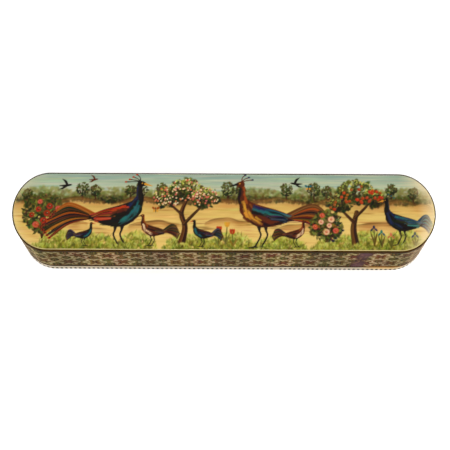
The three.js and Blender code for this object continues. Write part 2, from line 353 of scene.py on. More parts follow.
RUBBED = make_rubbed()
OLD_VARNISH = make_old_varnish()
print("node groups:", RUBBED.name, "and", OLD_VARNISH.name)

# %% [markdown]
# ## Starting and ending a finish
# Every finish begins with a Principled shader, whose plain sockets are set at once, and nearly every
# one ends with the same three wires: a colour, a roughness that follows some mask, and a fine relief.
# Values that are the same all over stay on the shader's own sockets, where an export finds them.

# %% Helpers for a whole finish
def effect(tree, group, **inputs):
    """The outputs of a shared effect, with its sockets filled by name."""
    return add(tree, "ShaderNodeGroup", inputs, node_tree=group).outputs


def new_finish(name, **shader):
    """A material, its node tree and its shader's sockets, with the plain ones set."""
    material = bpy.data.materials.new(name)
    material.use_nodes = True
    sockets = material.node_tree.nodes["Principled BSDF"].inputs
    for socket, value in shader.items():
        sockets[socket.replace("_", " ")].default_value = value
    return material, material.node_tree, sockets


def streaks(tree, fibre, start, most):
    """How much of a second colour shows: none in fibres up to `start`, then rising to `most`."""
    return span(tree, fibre["Streak"], start, 1.0, 0.0, most)


def dress(tree, shader, colour, rough, relief):
    """Wires a colour, a roughness (mask, low end, high end) and a relief (height, depth)."""
    fill(tree, shader["Base Color"], colour)
    fill(tree, shader["Roughness"], between(tree, *rough))
    fill(tree, shader["Normal"], bump(tree, *relief))


print("finishes so far:", len(bpy.data.materials))

# %% [markdown]
# ## Bone, dark wood and walnut
# Three plain finishes serve the strips and the carcass. Bone is cream, with short grey-brown
# fibres and a little grime. The dark strips are stained wood, whose edges have worn to a warm
# brown. The carcass is oiled walnut, with streaks along the box, open pores and a thin coat of oil.
# `edge` and `stain` are values that the strips' faces carry: how worn and how stained each one is.

# %% Make the plain finishes
STAIN_ON_BONE = (214, 172, 84)
STAIN_ON_WOOD = (160, 102, 38)


def make_bone(name, colour, grime):
    material, tree, shader = new_finish(name, Specular_IOR_Level=0.04)
    fibre = effect(tree, FIBRE, Length=9.0, Scale=1500.0)
    streaked = mix(tree, streaks(tree, fibre, start=0.55, most=0.5), rgba(colour), rgba(grime))
    toned = effect(tree, UNEVEN_TONE, Color=streaked, Amount=0.1, Scale=130.0)["Color"]
    stained = mix(tree, attribute(tree, "stain"), toned, rgba(STAIN_ON_BONE))
    dress(tree, shader, stained, rough=(fibre["Streak"], 0.36, 0.5), relief=(fibre["Pore"], 0.01 * MM))
    return material


def make_dark_wood(name, colour, worn):
    material, tree, shader = new_finish(name, Specular_IOR_Level=0.005)
    fibre = effect(tree, FIBRE, Length=20.0, Scale=900.0)
    streaked = mix(tree, streaks(tree, fibre, start=0.3, most=0.35), rgba(colour), rgba(worn))
    toned = effect(tree, UNEVEN_TONE, Color=streaked, Amount=0.25, Scale=90.0)["Color"]
    rubbed = effect(tree, RUBBED, Edge=attribute(tree, "edge"), Amount=0.4, Scale=420.0)
    edged = mix(tree, rubbed["Mask"], toned, rgba(worn))
    stained = mix(tree, attribute(tree, "stain"), edged, rgba(STAIN_ON_WOOD))
    dress(tree, shader, stained, rough=(fibre["Streak"], 0.32, 0.5), relief=(fibre["Pore"], 0.015 * MM))
    return material


def make_walnut():
    material, tree, shader = new_finish("oiled_walnut", Coat_Weight=0.12, Coat_Roughness=0.3)
    broad = effect(tree, FIBRE, Length=12.0, Scale=220.0)
    fine = effect(tree, FIBRE, Length=30.0, Scale=1800.0)
    banded = mix(tree, broad["Streak"], rgba((120, 78, 46)), rgba((74, 44, 25)))
    streaked = mix(tree, streaks(tree, fine, start=0.5, most=0.45), banded, rgba((46, 27, 16)))
    toned = effect(tree, UNEVEN_TONE, Color=streaked, Amount=0.18, Scale=35.0)["Color"]
    dress(tree, shader, toned, rough=(fine["Streak"], 0.45, 0.65), relief=(fine["Pore"], 0.03 * MM))
    return material


BONE = make_bone("bone", (178, 165, 142), (124, 108, 82))
DARK_WOOD = make_dark_wood("dark_wood", (38, 23, 3), (84, 58, 24))
EBONY_BLOCK = make_dark_wood("ebony_block", (18, 12, 6), (66, 50, 32))
WALNUT = make_walnut()
print("plain finishes:", BONE.name, DARK_WOOD.name, EBONY_BLOCK.name, WALNUT.name)

# %% [markdown]
# ## From a bmesh to a piece
# Every piece ends the same way: its mesh becomes an object at the origin, it takes over from its
# CAD node, and it rides on its body. Curved stretches are shaded smooth and real edges stay crisp.

# %% Turn a bmesh into a piece
CRISP_ANGLE = math.radians(35)
bodies = frame["record"]["behaviour"]["bodies"]
bodies_of = {node: body for body, members in bodies.items() for node in members}
slots_of = {part["node"]: part["material_slot"] for part in frame["record"]["subparts"]}


def make_object(bm, name, materials):
    mesh = bpy.data.meshes.new(name)
    bm.to_mesh(mesh)
    bm.free()
    for material in materials:
        mesh.materials.append(material)
    mesh.shade_smooth()
    mesh.set_sharp_from_angle(angle=CRISP_ANGLE)
    made = bpy.data.objects.new(name, mesh)
    bpy.context.scene.collection.objects.link(made)
    return made


def stand_for(piece, node):
    """The piece takes the place and the body of a CAD node."""
    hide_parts(node)
    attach(piece, bodies_of[node])
    triangles = sum(len(p.vertices) - 2 for p in piece.data.polygons)
    print(f"{piece.name}: {triangles} triangles, for {node}")
    return piece


print("bodies to ride on:", ", ".join(bodies))

# %% [markdown]
# ## Strips round the foot and the lid
# A strip is a thin band bent round the outline. We lay one closed loop and extrude it from corner to
# corner of the strip's section until it is back at its start, where the ends are joined. Sweeping a
# profile along a curve would do it too, but it gives less control over the joint.

# %% Bend a strip round the outline
STRIP_SEGMENTS = 520
TINY = 0.001 * MM


def clamp(value, least=0.0, most=1.0):
    return max(least, min(most, value))


def open_edges(bm):
    return [e for e in bm.edges if e.is_boundary]


def loop_round(bm, inset, z, count):
    """A closed loop of `count` points on the outline drawn in by `inset`."""
    circle = bmesh.ops.create_circle(bm, segments=count, radius=HALF_WIDTH)
    for i, vert in enumerate(circle["verts"]):
        vert.co = (*around((i + 0.5) * PERIMETER / count, inset), z)


def extrude_rim(bm, rim, corner, next_corner):
    """Extrudes edges on the outline from one (inset, z) to the next, and returns the new rim."""
    (inset, _), (next_inset, z) = corner, next_corner
    reach = (END_DEPTH - next_inset) / (END_DEPTH - inset)
    half = (HALF_WIDTH - next_inset) / (HALF_WIDTH - inset)
    extruded = bmesh.ops.extrude_edge_only(bm, edges=rim)
    moved = {v for v in extruded["geom"] if isinstance(v, bmesh.types.BMVert)}
    for vert in moved:
        middle = clamp(vert.co.x, -SPRING_X, SPRING_X)
        vert.co = (middle + (vert.co.x - middle) * reach, vert.co.y * half, z)
    return [e for e in open_edges(bm) if moved.issuperset(e.verts)]


def band(section, count=STRIP_SEGMENTS):
    """A closed band whose section has the given (inset, z) corners."""
    bm = bmesh.new()
    loop_round(bm, *section[0], count)
    rim = bm.edges[:]
    for corner, next_corner in zip(section, section[1:] + section[:1]):
        rim = extrude_rim(bm, rim, corner, next_corner)
    bmesh.ops.remove_doubles(bm, verts=bm.verts[:], dist=TINY)
    bmesh.ops.recalc_face_normals(bm, faces=bm.faces[:])
    return bm


def section_of(node, thickness):
    bottom, top = low(node).z, high(node).z
    return [(0, bottom), (0, top), (thickness, top), (thickness, bottom)]


print(f"a strip has {STRIP_SEGMENTS} segments of {PERIMETER / STRIP_SEGMENTS / MM:.2f} mm")

# %% [markdown]
# ## Rounded and worn edges
# Hands and varnish never leave a sharp edge, so the strips' long edges are rounded a little. The new
# faces get an `edge` value, which the dark finish uses for wear. The front is handled most, so it has
# worn most.

# %% Round the long edges
STRIP_EDGE = 0.14 * MM
SQUARE_ANGLE = math.radians(60)
WORN_FRONT = 1.0
WORN_BACK = 0.15


def round_long_edges(bm, width):
    """Rounds every edge where two faces meet squarely, and marks the new faces as edges."""
    edge_value = bm.faces.layers.float.new("edge")
    square = [e for e in bm.edges if e.is_manifold and e.calc_face_angle() > SQUARE_ANGLE]
    made = bmesh.ops.bevel(
        bm,
        geom=square,
        offset=width,
        offset_type="OFFSET",
        segments=2,
        profile=0.5,
        affect="EDGES",
        material=-1,
    )
    for face in made["faces"]:
        face[edge_value] = WORN_FRONT if face.calc_center_median().y < 0 else WORN_BACK


print(f"edges are rounded by {STRIP_EDGE / MM:.2f} mm")

# %% [markdown]
# ## The stain near the right corner
# Something once ran down the front near its right corner and left the lower strips orange. A stain
# belongs to a place on the object, so each piece stores it as an attribute on its faces, worked out
# from where the face lies along the front.

# %% Where the stain lies
STAIN_MIDDLE = 90 * MM
STAIN_REACH = 13 * MM


def stain_at(x, y):
    """How stained a place on the lower strips is, from 0 to 1."""
    if y > 0:
        return 0.0
    return clamp(1 - ((x - STAIN_MIDDLE) / STAIN_REACH) ** 2)


def stain_faces(bm, share):
    stain = bm.faces.layers.float.new("stain")
    for face in bm.faces:
        middle = face.calc_center_median()
        face[stain] = share * stain_at(middle.x, middle.y)


print("stain is strongest at x =", round(STAIN_MIDDLE / MM), "mm")

# %% [markdown]
# ## The bone line and the dark line
# Under the mosaic lie two plain strips, a dark one and a bone one, as thick as the mosaic itself. A
# maker would soften thin strips in hot water and bend them round the wood. Here each is one band,
# made by the same few lines.

# %% Make the two lines
STAIN_ON_LINES = 0.6


def make_line(node, name, finish):
    bm = band(section_of(node, SKIN))
    round_long_edges(bm, STRIP_EDGE)
    stain_faces(bm, STAIN_ON_LINES)
    stand_for(make_object(bm, name, [finish]), node)


make_line("bone_line", "bone_strip", BONE)
make_line("lower_dark_line", "dark_strip", DARK_WOOD)

# %% [markdown]
# ## The dotted border
# Round the foot runs a strip of dark and pale blocks, cut like a row of piano keys. One band with
# as many segments as there are blocks gives us every block as a face, all alike. Each outer face is
# then inset and sunk by a hair, so that a rim like a glue line round each block catches the light.
# One dark block has fallen out and was patched with a pale one, as often happens on a foot that
# slides on desks.

# %% Cut the dotted border
BLOCK_PAIRS = 198
BLOCKS = 2 * BLOCK_PAIRS
BLOCK_LENGTH = PERIMETER / BLOCKS
BLOCK_RIM = 0.07 * MM
BLOCK_SUNK = 0.03 * MM
PATCHED_AT = 29.5 * MM
PATCHED_BLOCK = 2 * int(PATCHED_AT / BLOCK_LENGTH / 2) + 1
LEVEL_NORMAL = 0.5  # a face whose normal rises or falls less than this looks sideways
STAIN_ON_BLOCKS = 0.05


def walked_to(x, y):
    """The way round the box to a point near its outline."""
    if abs(x) <= SPRING_X:
        return x % PERIMETER if y < 0 else PERIMETER / 2 - x
    angle = math.atan2(y / HALF_WIDTH, (abs(x) - SPRING_X) / END_DEPTH)
    along = SPRING_X + np.interp(angle, end_angles, end_walk)
    return along if x > 0 else PERIMETER - along


def faces_outward(face):
    middle = face.calc_center_median()
    into_end = middle.x - clamp(middle.x, -SPRING_X, SPRING_X)
    outward = face.normal.x * into_end + face.normal.y * middle.y > 0
    return outward and abs(face.normal.z) < LEVEL_NORMAL


def make_dotted_border():
    bm = band(section_of("dotted_border", SKIN), BLOCKS)
    for face in bm.faces:
        middle = face.calc_center_median()
        number = round(walked_to(middle.x, middle.y) / BLOCK_LENGTH)
        face.material_index = number % 2 if number != PATCHED_BLOCK else 0
    outer = [f for f in bm.faces if faces_outward(f)]
    bmesh.ops.inset_individual(
        bm, faces=outer, thickness=BLOCK_RIM, depth=-BLOCK_SUNK, use_even_offset=True
    )
    stain_faces(bm, STAIN_ON_BLOCKS)
    stand_for(make_object(bm, "dotted_strip", [BONE, EBONY_BLOCK]), "dotted_border")


make_dotted_border()

# %% [markdown]
# ## The groove along the back
# The lid turns on two small hinges in a V groove. The groove's flanks are planes through the pin's
# axis, and they meet when the lid is open, so whatever we lay on the back must stop at the same
# planes. `bisect_plane` cuts a closed piece there, and the open cut is filled again. The lid's dark
# edge strip is the first piece that needs it.

# %% Cut along the groove
STOP_SPARE = 2  # degrees that the flanks leave beyond the lid's stop
joint = frame["joints"][0]
PIN_AXIS = Vector(joint["pos_m"])
FLANK = math.radians((joint["range_deg"][1] + STOP_SPARE) / 2)


def trim(bm, place, outside):
    """Cuts a mesh at a plane and clears what lies on its outer side."""
    geometry = bm.verts[:] + bm.edges[:] + bm.faces[:]
    bmesh.ops.bisect_plane(bm, geom=geometry, plane_co=place, plane_no=outside, clear_outer=True)


def cut_flank(bm, upper, finish=0):
    """Cuts a closed piece at the groove's upper or lower flank, and closes it again."""
    rise = 1 if upper else -1
    trim(bm, PIN_AXIS, Vector((0, math.sin(FLANK), -rise * math.cos(FLANK))))
    closed = bmesh.ops.holes_fill(bm, edges=open_edges(bm), sides=0)
    for face in closed["faces"]:
        face.material_index = finish
    bmesh.ops.recalc_face_normals(bm, faces=bm.faces[:])


def make_lid_edging():
    thickness = HALF_WIDTH - high("painted_panel").y - GLUE_LINE
    bm = band(section_of("lid_edging", thickness))
    round_long_edges(bm, STRIP_EDGE)
    cut_flank(bm, upper=True)
    stand_for(make_object(bm, "lid_edge_strip", [DARK_WOOD]), "lid_edging")


make_lid_edging()

# %% [markdown]
# ## The star mosaic
# The sides are faced with thin slices of a bundle of glued rods. Each rod is a three-sided stick of
# bone, dyed bone or wood, so a slice shows a field of equal triangles, and rows of six-pointed stars
# appear where the maker changed the material. All sizes follow from the way from one star to the
# next.

# %% Sizes of the mosaic
STAR_PITCH = 14.95 * MM
RINGS_TO_GAP = 12  # rings of rods from a star's middle to the middle of the gap beside it
TILE = STAR_PITCH / (RINGS_TO_GAP * math.sqrt(3))
COLUMN = TILE * math.sqrt(3) / 2
STAR_PLACE = -3.9 * MM
UPPER_STARS = 27.75 * MM
TILES_BETWEEN_ROWS = 18
STAR_ROWS = (UPPER_STARS, UPPER_STARS - TILES_BETWEEN_ROWS * TILE)
MOSAIC_BOTTOM = low("front_marquetry").z
MOSAIC_TOP = high("front_marquetry").z
print(f"rods have sides of {TILE / MM:.2f} mm")
print("rows of stars at", [round(z / MM, 1) for z in STAR_ROWS], "mm")

# %% [markdown]
# ## A flat field of triangles
# We make the triangles the way they lie: a grid, every other column pushed up by half a tile, each
# cell split along its short diagonal. The field is made a little too large and trimmed on four
# sides, as a slice of rods is.

# %% Lay a flat field of tiles
def tile_field(start, stop):
    """A flat field of equal triangles, from one place round the box to another."""
    first = math.floor((start - STAR_PLACE) / COLUMN) - 1
    columns = math.ceil((stop - STAR_PLACE) / COLUMN) + 1 - first
    lowest = math.floor((MOSAIC_BOTTOM - UPPER_STARS) / TILE) - 1
    rows = math.ceil((MOSAIC_TOP - UPPER_STARS) / TILE) + 1 - lowest
    bm = bmesh.new()
    bmesh.ops.create_grid(bm, x_segments=columns, y_segments=rows, size=0.5)
    for vert in bm.verts:
        column = first + round((vert.co.x + 0.5) * columns)
        row = lowest + round((vert.co.y + 0.5) * rows) + 0.5 * (column % 2)
        vert.co = (STAR_PLACE + column * COLUMN, 0, UPPER_STARS + row * TILE)
    bmesh.ops.triangulate(bm, faces=bm.faces[:], quad_method="SHORT_EDGE")
    trim(bm, (start, 0, 0), (-1, 0, 0))
    trim(bm, (stop, 0, 0), (1, 0, 0))
    trim(bm, (0, 0, MOSAIC_BOTTOM), (0, 0, -1))
    trim(bm, (0, 0, MOSAIC_TOP), (0, 0, 1))
    return bm


print("tiles from foot to lid:", math.ceil((MOSAIC_TOP - MOSAIC_BOTTOM) / TILE))

# %% [markdown]
# ## Counting rings
# A six-pointed star is two large triangles laid over each other. A point is inside the star when it
# is inside either of them, so its ring number is the smaller of its distances from the two
# triangles' middles, measured towards their sides. Counting rings of rods outwards will give the
# pattern. No star sits quite where it should, because each was glued by hand.

# %% Count the rings
STAR_SIDES = [(math.cos(a), math.sin(a)) for a in (0, 2 * math.pi / 3, 4 * math.pi / 3)]
STAR_SLIP = 0.55 * MM
SLIP_ALONG = 7.1  # radians from star to star, uneven enough to look like chance
SLIP_UP = 11.3


def ring_round_star(dx, dz):
    """The ring of rods at a place in a star, how far it lies off a hollow, and how far out it is."""
    least, middle, most = sorted((dx * nx + dz * nz) / COLUMN for nx, nz in STAR_SIDES)
    return min(most, -least), abs(middle), max(most, -least)


def nearest_star(walked, z):
    """The ring, the way off a hollow, the reach and the number of the nearest star."""
    found = []
    for row, height in enumerate(STAR_ROWS):
        shift = STAR_PLACE + row * STAR_PITCH / 2
        nearest = round((walked - shift) / STAR_PITCH)
        for number in (nearest - 1, nearest, nearest + 1):
            star = 2 * number + row
            dx = walked - shift - number * STAR_PITCH - STAR_SLIP * math.sin(SLIP_ALONG * star)
            dz = z - height - STAR_SLIP * math.sin(SLIP_UP * star)
            found.append((*ring_round_star(dx, dz), star))
    return min(found)


halfway_ring = nearest_star(STAR_PLACE + STAR_PITCH / 2, UPPER_STARS)[0]
print(f"halfway between two stars of a row we are at ring {halfway_ring:.1f}")

# %% [markdown]
# ## The rods' finishes
# One recipe makes all the rods' finishes: a colour, a little lighter or darker from rod to rod and
# drifting in hue, under old varnish. Over the right end a pale pink veil is painted in: a painted sheen
# that stands for light on the varnish, and each tile stores how strong it is. Beside it a repair was
# filled with a purple paste that hides most of the pattern, and each tile stores how much of it shows
# as `paste`.

# %% Make the rods' finishes
ROD_COLOURS = {
    "bone": (182, 168, 146),
    "ebony": (54, 38, 12),
    "red": (114, 74, 36),
    "green": (84, 90, 42),
    "brown": (124, 96, 54),
}
PASTE_COLOUR = (86, 56, 62)
# painted sheen: the pale pink that the right end is drawn towards, for light on its varnish
PAINTED_SHEEN_COLOUR = (206, 160, 126)
ROD_VARNISH = (0.45, 0.41, 0.235, 1.0)
DARKEST_ROD, LIGHTEST_ROD = 0.6, 1.4
LEAST_HUE, MOST_HUE = 0.465, 0.53


def make_rod(rod):
    material, tree, shader = new_finish(f"{rod}_rod", Specular_IOR_Level=0.006)
    tone = span(tree, attribute(tree, "tile_tone"), -1.0, 1.0, DARKEST_ROD, LIGHTEST_ROD)
    drift = noise(tree, object_place(tree), scale=120.0, detail=1.0)
    hue = stretch_noise(tree, drift, LEAST_HUE, MOST_HUE)
    toned = tint(tree, rgba(ROD_COLOURS[rod]), tone, hue)
    varnished = effect(tree, OLD_VARNISH, Color=toned, Tint=ROD_VARNISH, Scale=70.0)["Color"]
    # painted sheen: the right end is drawn towards a pale pink, for light on its varnish
    painted_sheen = mix(tree, attribute(tree, "painted_sheen"), varnished, rgba(PAINTED_SHEEN_COLOUR))
    pasted = mix(tree, attribute(tree, "paste"), painted_sheen, rgba(PASTE_COLOUR))
    fibre = effect(tree, FIBRE, Length=1.0, Scale=2600.0)
    dress(tree, shader, pasted, rough=(fibre["Streak"], 0.34, 0.48), relief=(fibre["Pore"], 0.006 * MM))
    return material


RODS = list(ROD_COLOURS)
ROD_FINISHES = [make_rod(rod) for rod in RODS]
print("kinds of rods:", ", ".join(RODS))

# %% [markdown]
# ## Which rod goes where
# From its middle outwards a star has a heart of five rings, which is browner in every third star, and
# a bone outline two rods wide, whose hollows reach in between the petals. Beyond it lies the common
# ground of brown, green and ebony. The rods aren't quite even, so a little chance shifts each ring.

# %% Choose a rod
RED_HEART = ["red", "red", "ebony", "brown", "red"]
BROWN_HEART = ["brown", "ebony", "red", "brown", "brown"]
BROWN_EVERY = 3  # stars
GROUND_RODS = ["bone", "bone", "brown", "ebony", "green", "brown", "ebony", "green", "ebony"]
ROD_SLIP = 0.22  # of a ring, the unevenness of the rods
HOLLOW_RING = 5
TIP_REACH = 11  # rings, where the bone outline's tips end
rod_chance = np.random.default_rng(11)


def rod_at(walked, z):
    """The name of the rod at a place in the mosaic, and the number of its star."""
    ring, off_hollow, reach, star = nearest_star(walked, z)
    ring = max(1, math.ceil(ring + rod_chance.normal(0, ROD_SLIP)))
    rods = (RED_HEART if star % BROWN_EVERY else BROWN_HEART) + GROUND_RODS
    if ring == HOLLOW_RING and off_hollow < 1:
        return "bone", star
    rod = rods[min(ring, len(rods)) - 1]
    return "brown" if rod == "bone" and reach > TIP_REACH else rod, star


print("rods from the middle of a red star outwards:", ", ".join(RED_HEART + GROUND_RODS))

# %% [markdown]
# ## The paste and the painted sheen at the right end
# The paste is a slanting band with ragged, soft sides, thicker at its top and foot than halfway up,
# with a dark crack along its middle. The painted sheen, a pale veil for the light on the varnish, comes
# in slowly from both sides of the right end. Both are worked out for a place on the unrolled facing, as
# the pattern is.

# %% Where paste and a painted sheen change the mosaic
PASTE_TOP = 77 * MM
PASTE_FOOT = 74.5 * MM
PASTE_HALF_WIDTH = 4.4 * MM
PASTE_STEEPNESS = 1.8  # the larger, the harder the band's sides
PASTE_RAGGED = 0.6 * MM
SECOND_WAVE = 2.7  # times as fast as the first one along the ragged sides
PASTE_HALFWAY = 0.2
PASTE_AT_RIMS = 0.65  # added to that at the top and the foot
CRACK = 0.45 * MM
# millimetres over which the painted sheen comes in at the right end
PAINTED_SHEEN_WAY = 14 * MM
MOST_PAINTED_SHEEN = 0.09


def paste_at(walked, z):
    """How much paste covers a place on the front, and whether the crack runs through it."""
    height = (z - MOSAIC_BOTTOM) / (MOSAIC_TOP - MOSAIC_BOTTOM)
    off = abs(walked - PASTE_FOOT - (PASTE_TOP - PASTE_FOOT) * height)
    wave = z / PASTE_RAGGED
    ragged = PASTE_RAGGED * (math.sin(wave) + math.sin(SECOND_WAVE * wave))
    cover = clamp(PASTE_STEEPNESS * (1 - (off + ragged) / PASTE_HALF_WIDTH))
    return cover * (PASTE_HALFWAY + PASTE_AT_RIMS * abs(2 * height - 1)), off < CRACK


def painted_sheen_at(walked):
    """How strongly a pale veil of painted sheen, for light on the varnish, covers a place at the right end."""
    into_end = END_ARC / 2 - abs(walked - SPRING_X - END_ARC / 2)
    return MOST_PAINTED_SHEEN * clamp(into_end / PAINTED_SHEEN_WAY)


print(f"paste covers {paste_at(PASTE_TOP, MOSAIC_TOP)[0]:.0%} at the top of its band")

# %% [markdown]
# ## Bend and fit the sheets
# Each flat field gets its rods and its thickness, and then every point is rolled onto the outline:
# the first coordinate is the way round the box and the second is the depth below the surface. The
# back and the ends are cut at the groove. Where the paste isn't thin, only dark rods show through.

# %% Make a sheet of mosaic
TONE_SPREAD = 0.4
STAR_SPREAD = 0.75
STAR_TONE = 5.3  # radians from star to star
THIN_PASTE = 0.15


def choose_rods(bm):
    tone = bm.faces.layers.float.new("tile_tone")
    paste = bm.faces.layers.float.new("paste")
    painted_sheen = bm.faces.layers.float.new("painted_sheen")
    for face in bm.faces:
        middle = face.calc_center_median()
        rod, star = rod_at(middle.x, middle.z)
        face[paste], cracked = paste_at(middle.x, middle.z)
        if face[paste] > THIN_PASTE:
            rod = "brown" if rod == "bone" and not cracked else "ebony"
        # how strong the painted sheen is on this tile, for light on the varnish at the right end
        face[painted_sheen] = painted_sheen_at(middle.x)
        face.material_index = RODS.index(rod)
        star_tone = STAR_SPREAD * math.sin(STAR_TONE * star)
        face[tone] = clamp(star_tone + rod_chance.normal(0, TONE_SPREAD), -1.0)


def thicken(bm, depth):
    """Adds the sheet's hidden side and its edges."""
    extruded = bmesh.ops.extrude_face_region(bm, geom=bm.faces[:])
    hidden = [v for v in extruded["geom"] if isinstance(v, bmesh.types.BMVert)]
    bmesh.ops.translate(bm, verts=hidden, vec=(0, depth, 0))


def make_mosaic(name, start, stop, grooved):
    bm = tile_field(start, stop)
    choose_rods(bm)
    thicken(bm, SKIN)
    for vert in bm.verts:
        vert.co = (*around(vert.co.x, vert.co.y), vert.co.z)
    bmesh.ops.recalc_face_normals(bm, faces=bm.faces[:])
    if grooved:
        cut_flank(bm, upper=False, finish=RODS.index("brown"))
    print(f"{name}: {sum(not e.is_manifold for e in bm.edges)} open edges")
    return make_object(bm, name, ROD_FINISHES)


print("finishes in a sheet:", len(ROD_FINISHES))

# %% [markdown]
# ## Room for the hinge barrels
# The barrels of the hinges stand in the groove and need a little room in the mosaic of the back. A
# maker would file a round notch there. Here a round bar along each hinge is cut out of the sheet by
# a boolean, whose result becomes the sheet's own mesh.

# %% Make the four sheets
BARREL_CLEARANCE = 0.15 * MM
BARREL_SIDES = 32
FRONT_END = SPRING_X - GLUE_LINE
RIGHT_END = SPRING_X + END_ARC
BACK_START = RIGHT_END + GLUE_LINE
SHEETS = [
    ("front_marquetry", "front_star_sheet", -FRONT_END, FRONT_END),
    ("right_end_marquetry", "right_star_sheet", SPRING_X, RIGHT_END),
    ("back_marquetry", "back_star_sheet", BACK_START, BACK_START + 2 * FRONT_END),
    ("left_end_marquetry", "left_star_sheet", -RIGHT_END, -SPRING_X),
]


def barrel_rooms():
    """One cutter with a round bar along each hinge."""
    bm = bmesh.new()
    for side in ("left", "right"):
        leaf = f"{side}_hinge_case_leaf"
        middle = (low(leaf).x + high(leaf).x) / 2
        radius = high(leaf).z - PIN_AXIS.z + BARREL_CLEARANCE
        place = Matrix.Translation((middle, PIN_AXIS.y, PIN_AXIS.z))
        bmesh.ops.create_cone(
            bm,
            cap_ends=True,
            segments=BARREL_SIDES,
            radius1=radius,
            radius2=radius,
            depth=high(leaf).x - low(leaf).x + 2 * BARREL_CLEARANCE,
            matrix=place @ Matrix.Rotation(math.pi / 2, 4, "Y"),
        )
    return make_object(bm, "barrel_rooms", [])


def cut_with(piece, cutter):
    """Cuts one closed mesh out of another and keeps only the result."""
    cut = piece.modifiers.new("room", "BOOLEAN")
    cut.operation = "DIFFERENCE"
    cut.object = cutter
    view = bpy.context.evaluated_depsgraph_get()
    done = bpy.data.meshes.new_from_object(piece.evaluated_get(view))
    piece.modifiers.clear()
    piece.data = done
    bpy.data.objects.remove(cutter)


for node, name, start, stop in SHEETS:
    sheet = make_mosaic(name, start, stop, grooved=node != "front_marquetry")
    if node == "back_marquetry":
        cut_with(sheet, barrel_rooms())
    stand_for(sheet, node)

# %% [markdown]
# ## A plate with a dense face
# The painted panel, and the linings of the floor and the lid, are flat plates in the box's outline.
# Each begins as a grid whose columns are drawn in to the outline, so that the rows run along the
# box and meet at the tip of each end. From the grid's rim, loops are extruded down a section, and
# one last face closes the hidden side.

# %% Make a plate
def grid_in_outline(columns, rows, inset, z):
    """A flat grid that fills the outline drawn in by `inset`."""
    reach, half = END_DEPTH - inset, HALF_WIDTH - inset
    quarter = reach * math.pi / 2
    bm = bmesh.new()
    bmesh.ops.create_grid(bm, x_segments=columns, y_segments=rows, size=1)
    for vert in bm.verts:
        along = abs(vert.co.x) * (SPRING_X + quarter)
        turn = max(0.0, along - SPRING_X) / reach
        x = min(along, SPRING_X) + reach * math.sin(turn)
        vert.co = (math.copysign(x, vert.co.x), vert.co.y * half * math.cos(turn), z)
    bmesh.ops.remove_doubles(bm, verts=bm.verts[:], dist=TINY)
    return bm


def plate(columns, rows, section):
    """A closed plate: a dense face at the first (inset, z) of the section, then its sides."""
    bm = grid_in_outline(columns, rows, *section[0])
    rim = open_edges(bm)
    for corner, next_corner in zip(section, section[1:]):
        rim = extrude_rim(bm, rim, corner, next_corner)
    bmesh.ops.holes_fill(bm, edges=open_edges(bm), sides=0)
    bmesh.ops.recalc_face_normals(bm, faces=bm.faces[:])
    return bm


def rounded_edge(inset, top, width, height, steps=4):
    """Section points down a quarter round, from a flat top to an upright side."""
    turns = [i * math.pi / 2 / steps for i in range(steps + 1)]
    return [(inset + width * (1 - math.sin(t)), top - height * (1 - math.cos(t))) for t in turns]


print("corners in a rounded edge:", len(rounded_edge(0, 0, 1, 1)))

# %% [markdown]
# ## The bone panel
# The lid carries a thin bone panel with a narrow rounded bevel. The grid is fine enough to paint on:
# one point about every third of a millimetre, like a canvas whose threads each hold a colour.

# %% Make the panel's mesh
PANEL_COLUMNS = 700
PANEL_ROWS = 124
PANEL_INSET = HALF_WIDTH - high("painted_panel").y
PANEL_BEVEL = 0.45 * MM


def make_panel():
    section = rounded_edge(PANEL_INSET, LID_TOP, PANEL_BEVEL, PANEL_BEVEL)
    section.append((PANEL_INSET, low("painted_panel").z))
    return make_object(plate(PANEL_COLUMNS, PANEL_ROWS, section), "garden_panel", [])


panel = make_panel()
print("points to paint:", len(panel.data.vertices))

# %% [markdown]
# ## A canvas and a palette
# The picture is painted in code on the panel's own points. An image file would do it too, but paint on
# the points needs no unwrapping, and its thickness can be kept beside its colour. `canvas` holds the
# colours, and `relief` how thick the paint stands, which the varnish later shows.
# On the panel x runs along the box and y towards its back, both in millimetres.

# %% Prime the canvas
points = np.empty(len(panel.data.vertices) * 3)
panel.data.vertices.foreach_get("co", points)
points = points.reshape(-1, 3)
canvas_x, canvas_y = points[:, :2].T / MM
canvas = np.zeros((len(points), 3))
relief = np.zeros(len(points))
hand = np.random.default_rng(5)

PALETTE = {
    "sky": (158, 176, 154),
    "sky deep": (126, 156, 150),
    "sky pale": (188, 192, 168),
    "slate": (166, 176, 158),
    "haze": (176, 170, 120),
    "straw": (222, 190, 112),
    "ochre": (194, 158, 84),
    "blush": (188, 128, 72),
    "clay": (140, 88, 38),
    "earth": (80, 50, 20),
    "hill light": (134, 136, 80),
    "hill": (98, 98, 46),
    "hill dark": (66, 62, 24),
    "grass light": (188, 188, 92),
    "grass": (148, 150, 52),
    "grass dark": (84, 88, 20),
    "leaf light": (108, 104, 44),
    "leaf": (70, 70, 26),
    "leaf dark": (34, 36, 16),
    "bark": (60, 34, 16),
    "ink": (24, 20, 18),
    "navy": (30, 36, 68),
    "teal": (34, 92, 100),
    "russet": (82, 34, 16),
    "rust": (146, 70, 20),
    "red": (170, 50, 18),
    "rose": (190, 98, 72),
    "shell": (222, 188, 150),
    "saffron": (204, 142, 44),
    "bare bone": (238, 218, 182),
}
print("paints on the palette:", len(PALETTE))

# %% [markdown]
# ## Brush marks
# A brush mark is a soft shape that pulls the colours under it towards its own. Two marks are enough:
# a dab, which is an oval, and a stroke, which follows a few points and swells and thins on its way.
# Each also leaves some paint standing on the surface, and levels what stood there before.

# %% Dabs and strokes
LEVELLED = 0.5  # how far a full mark levels the paint under it


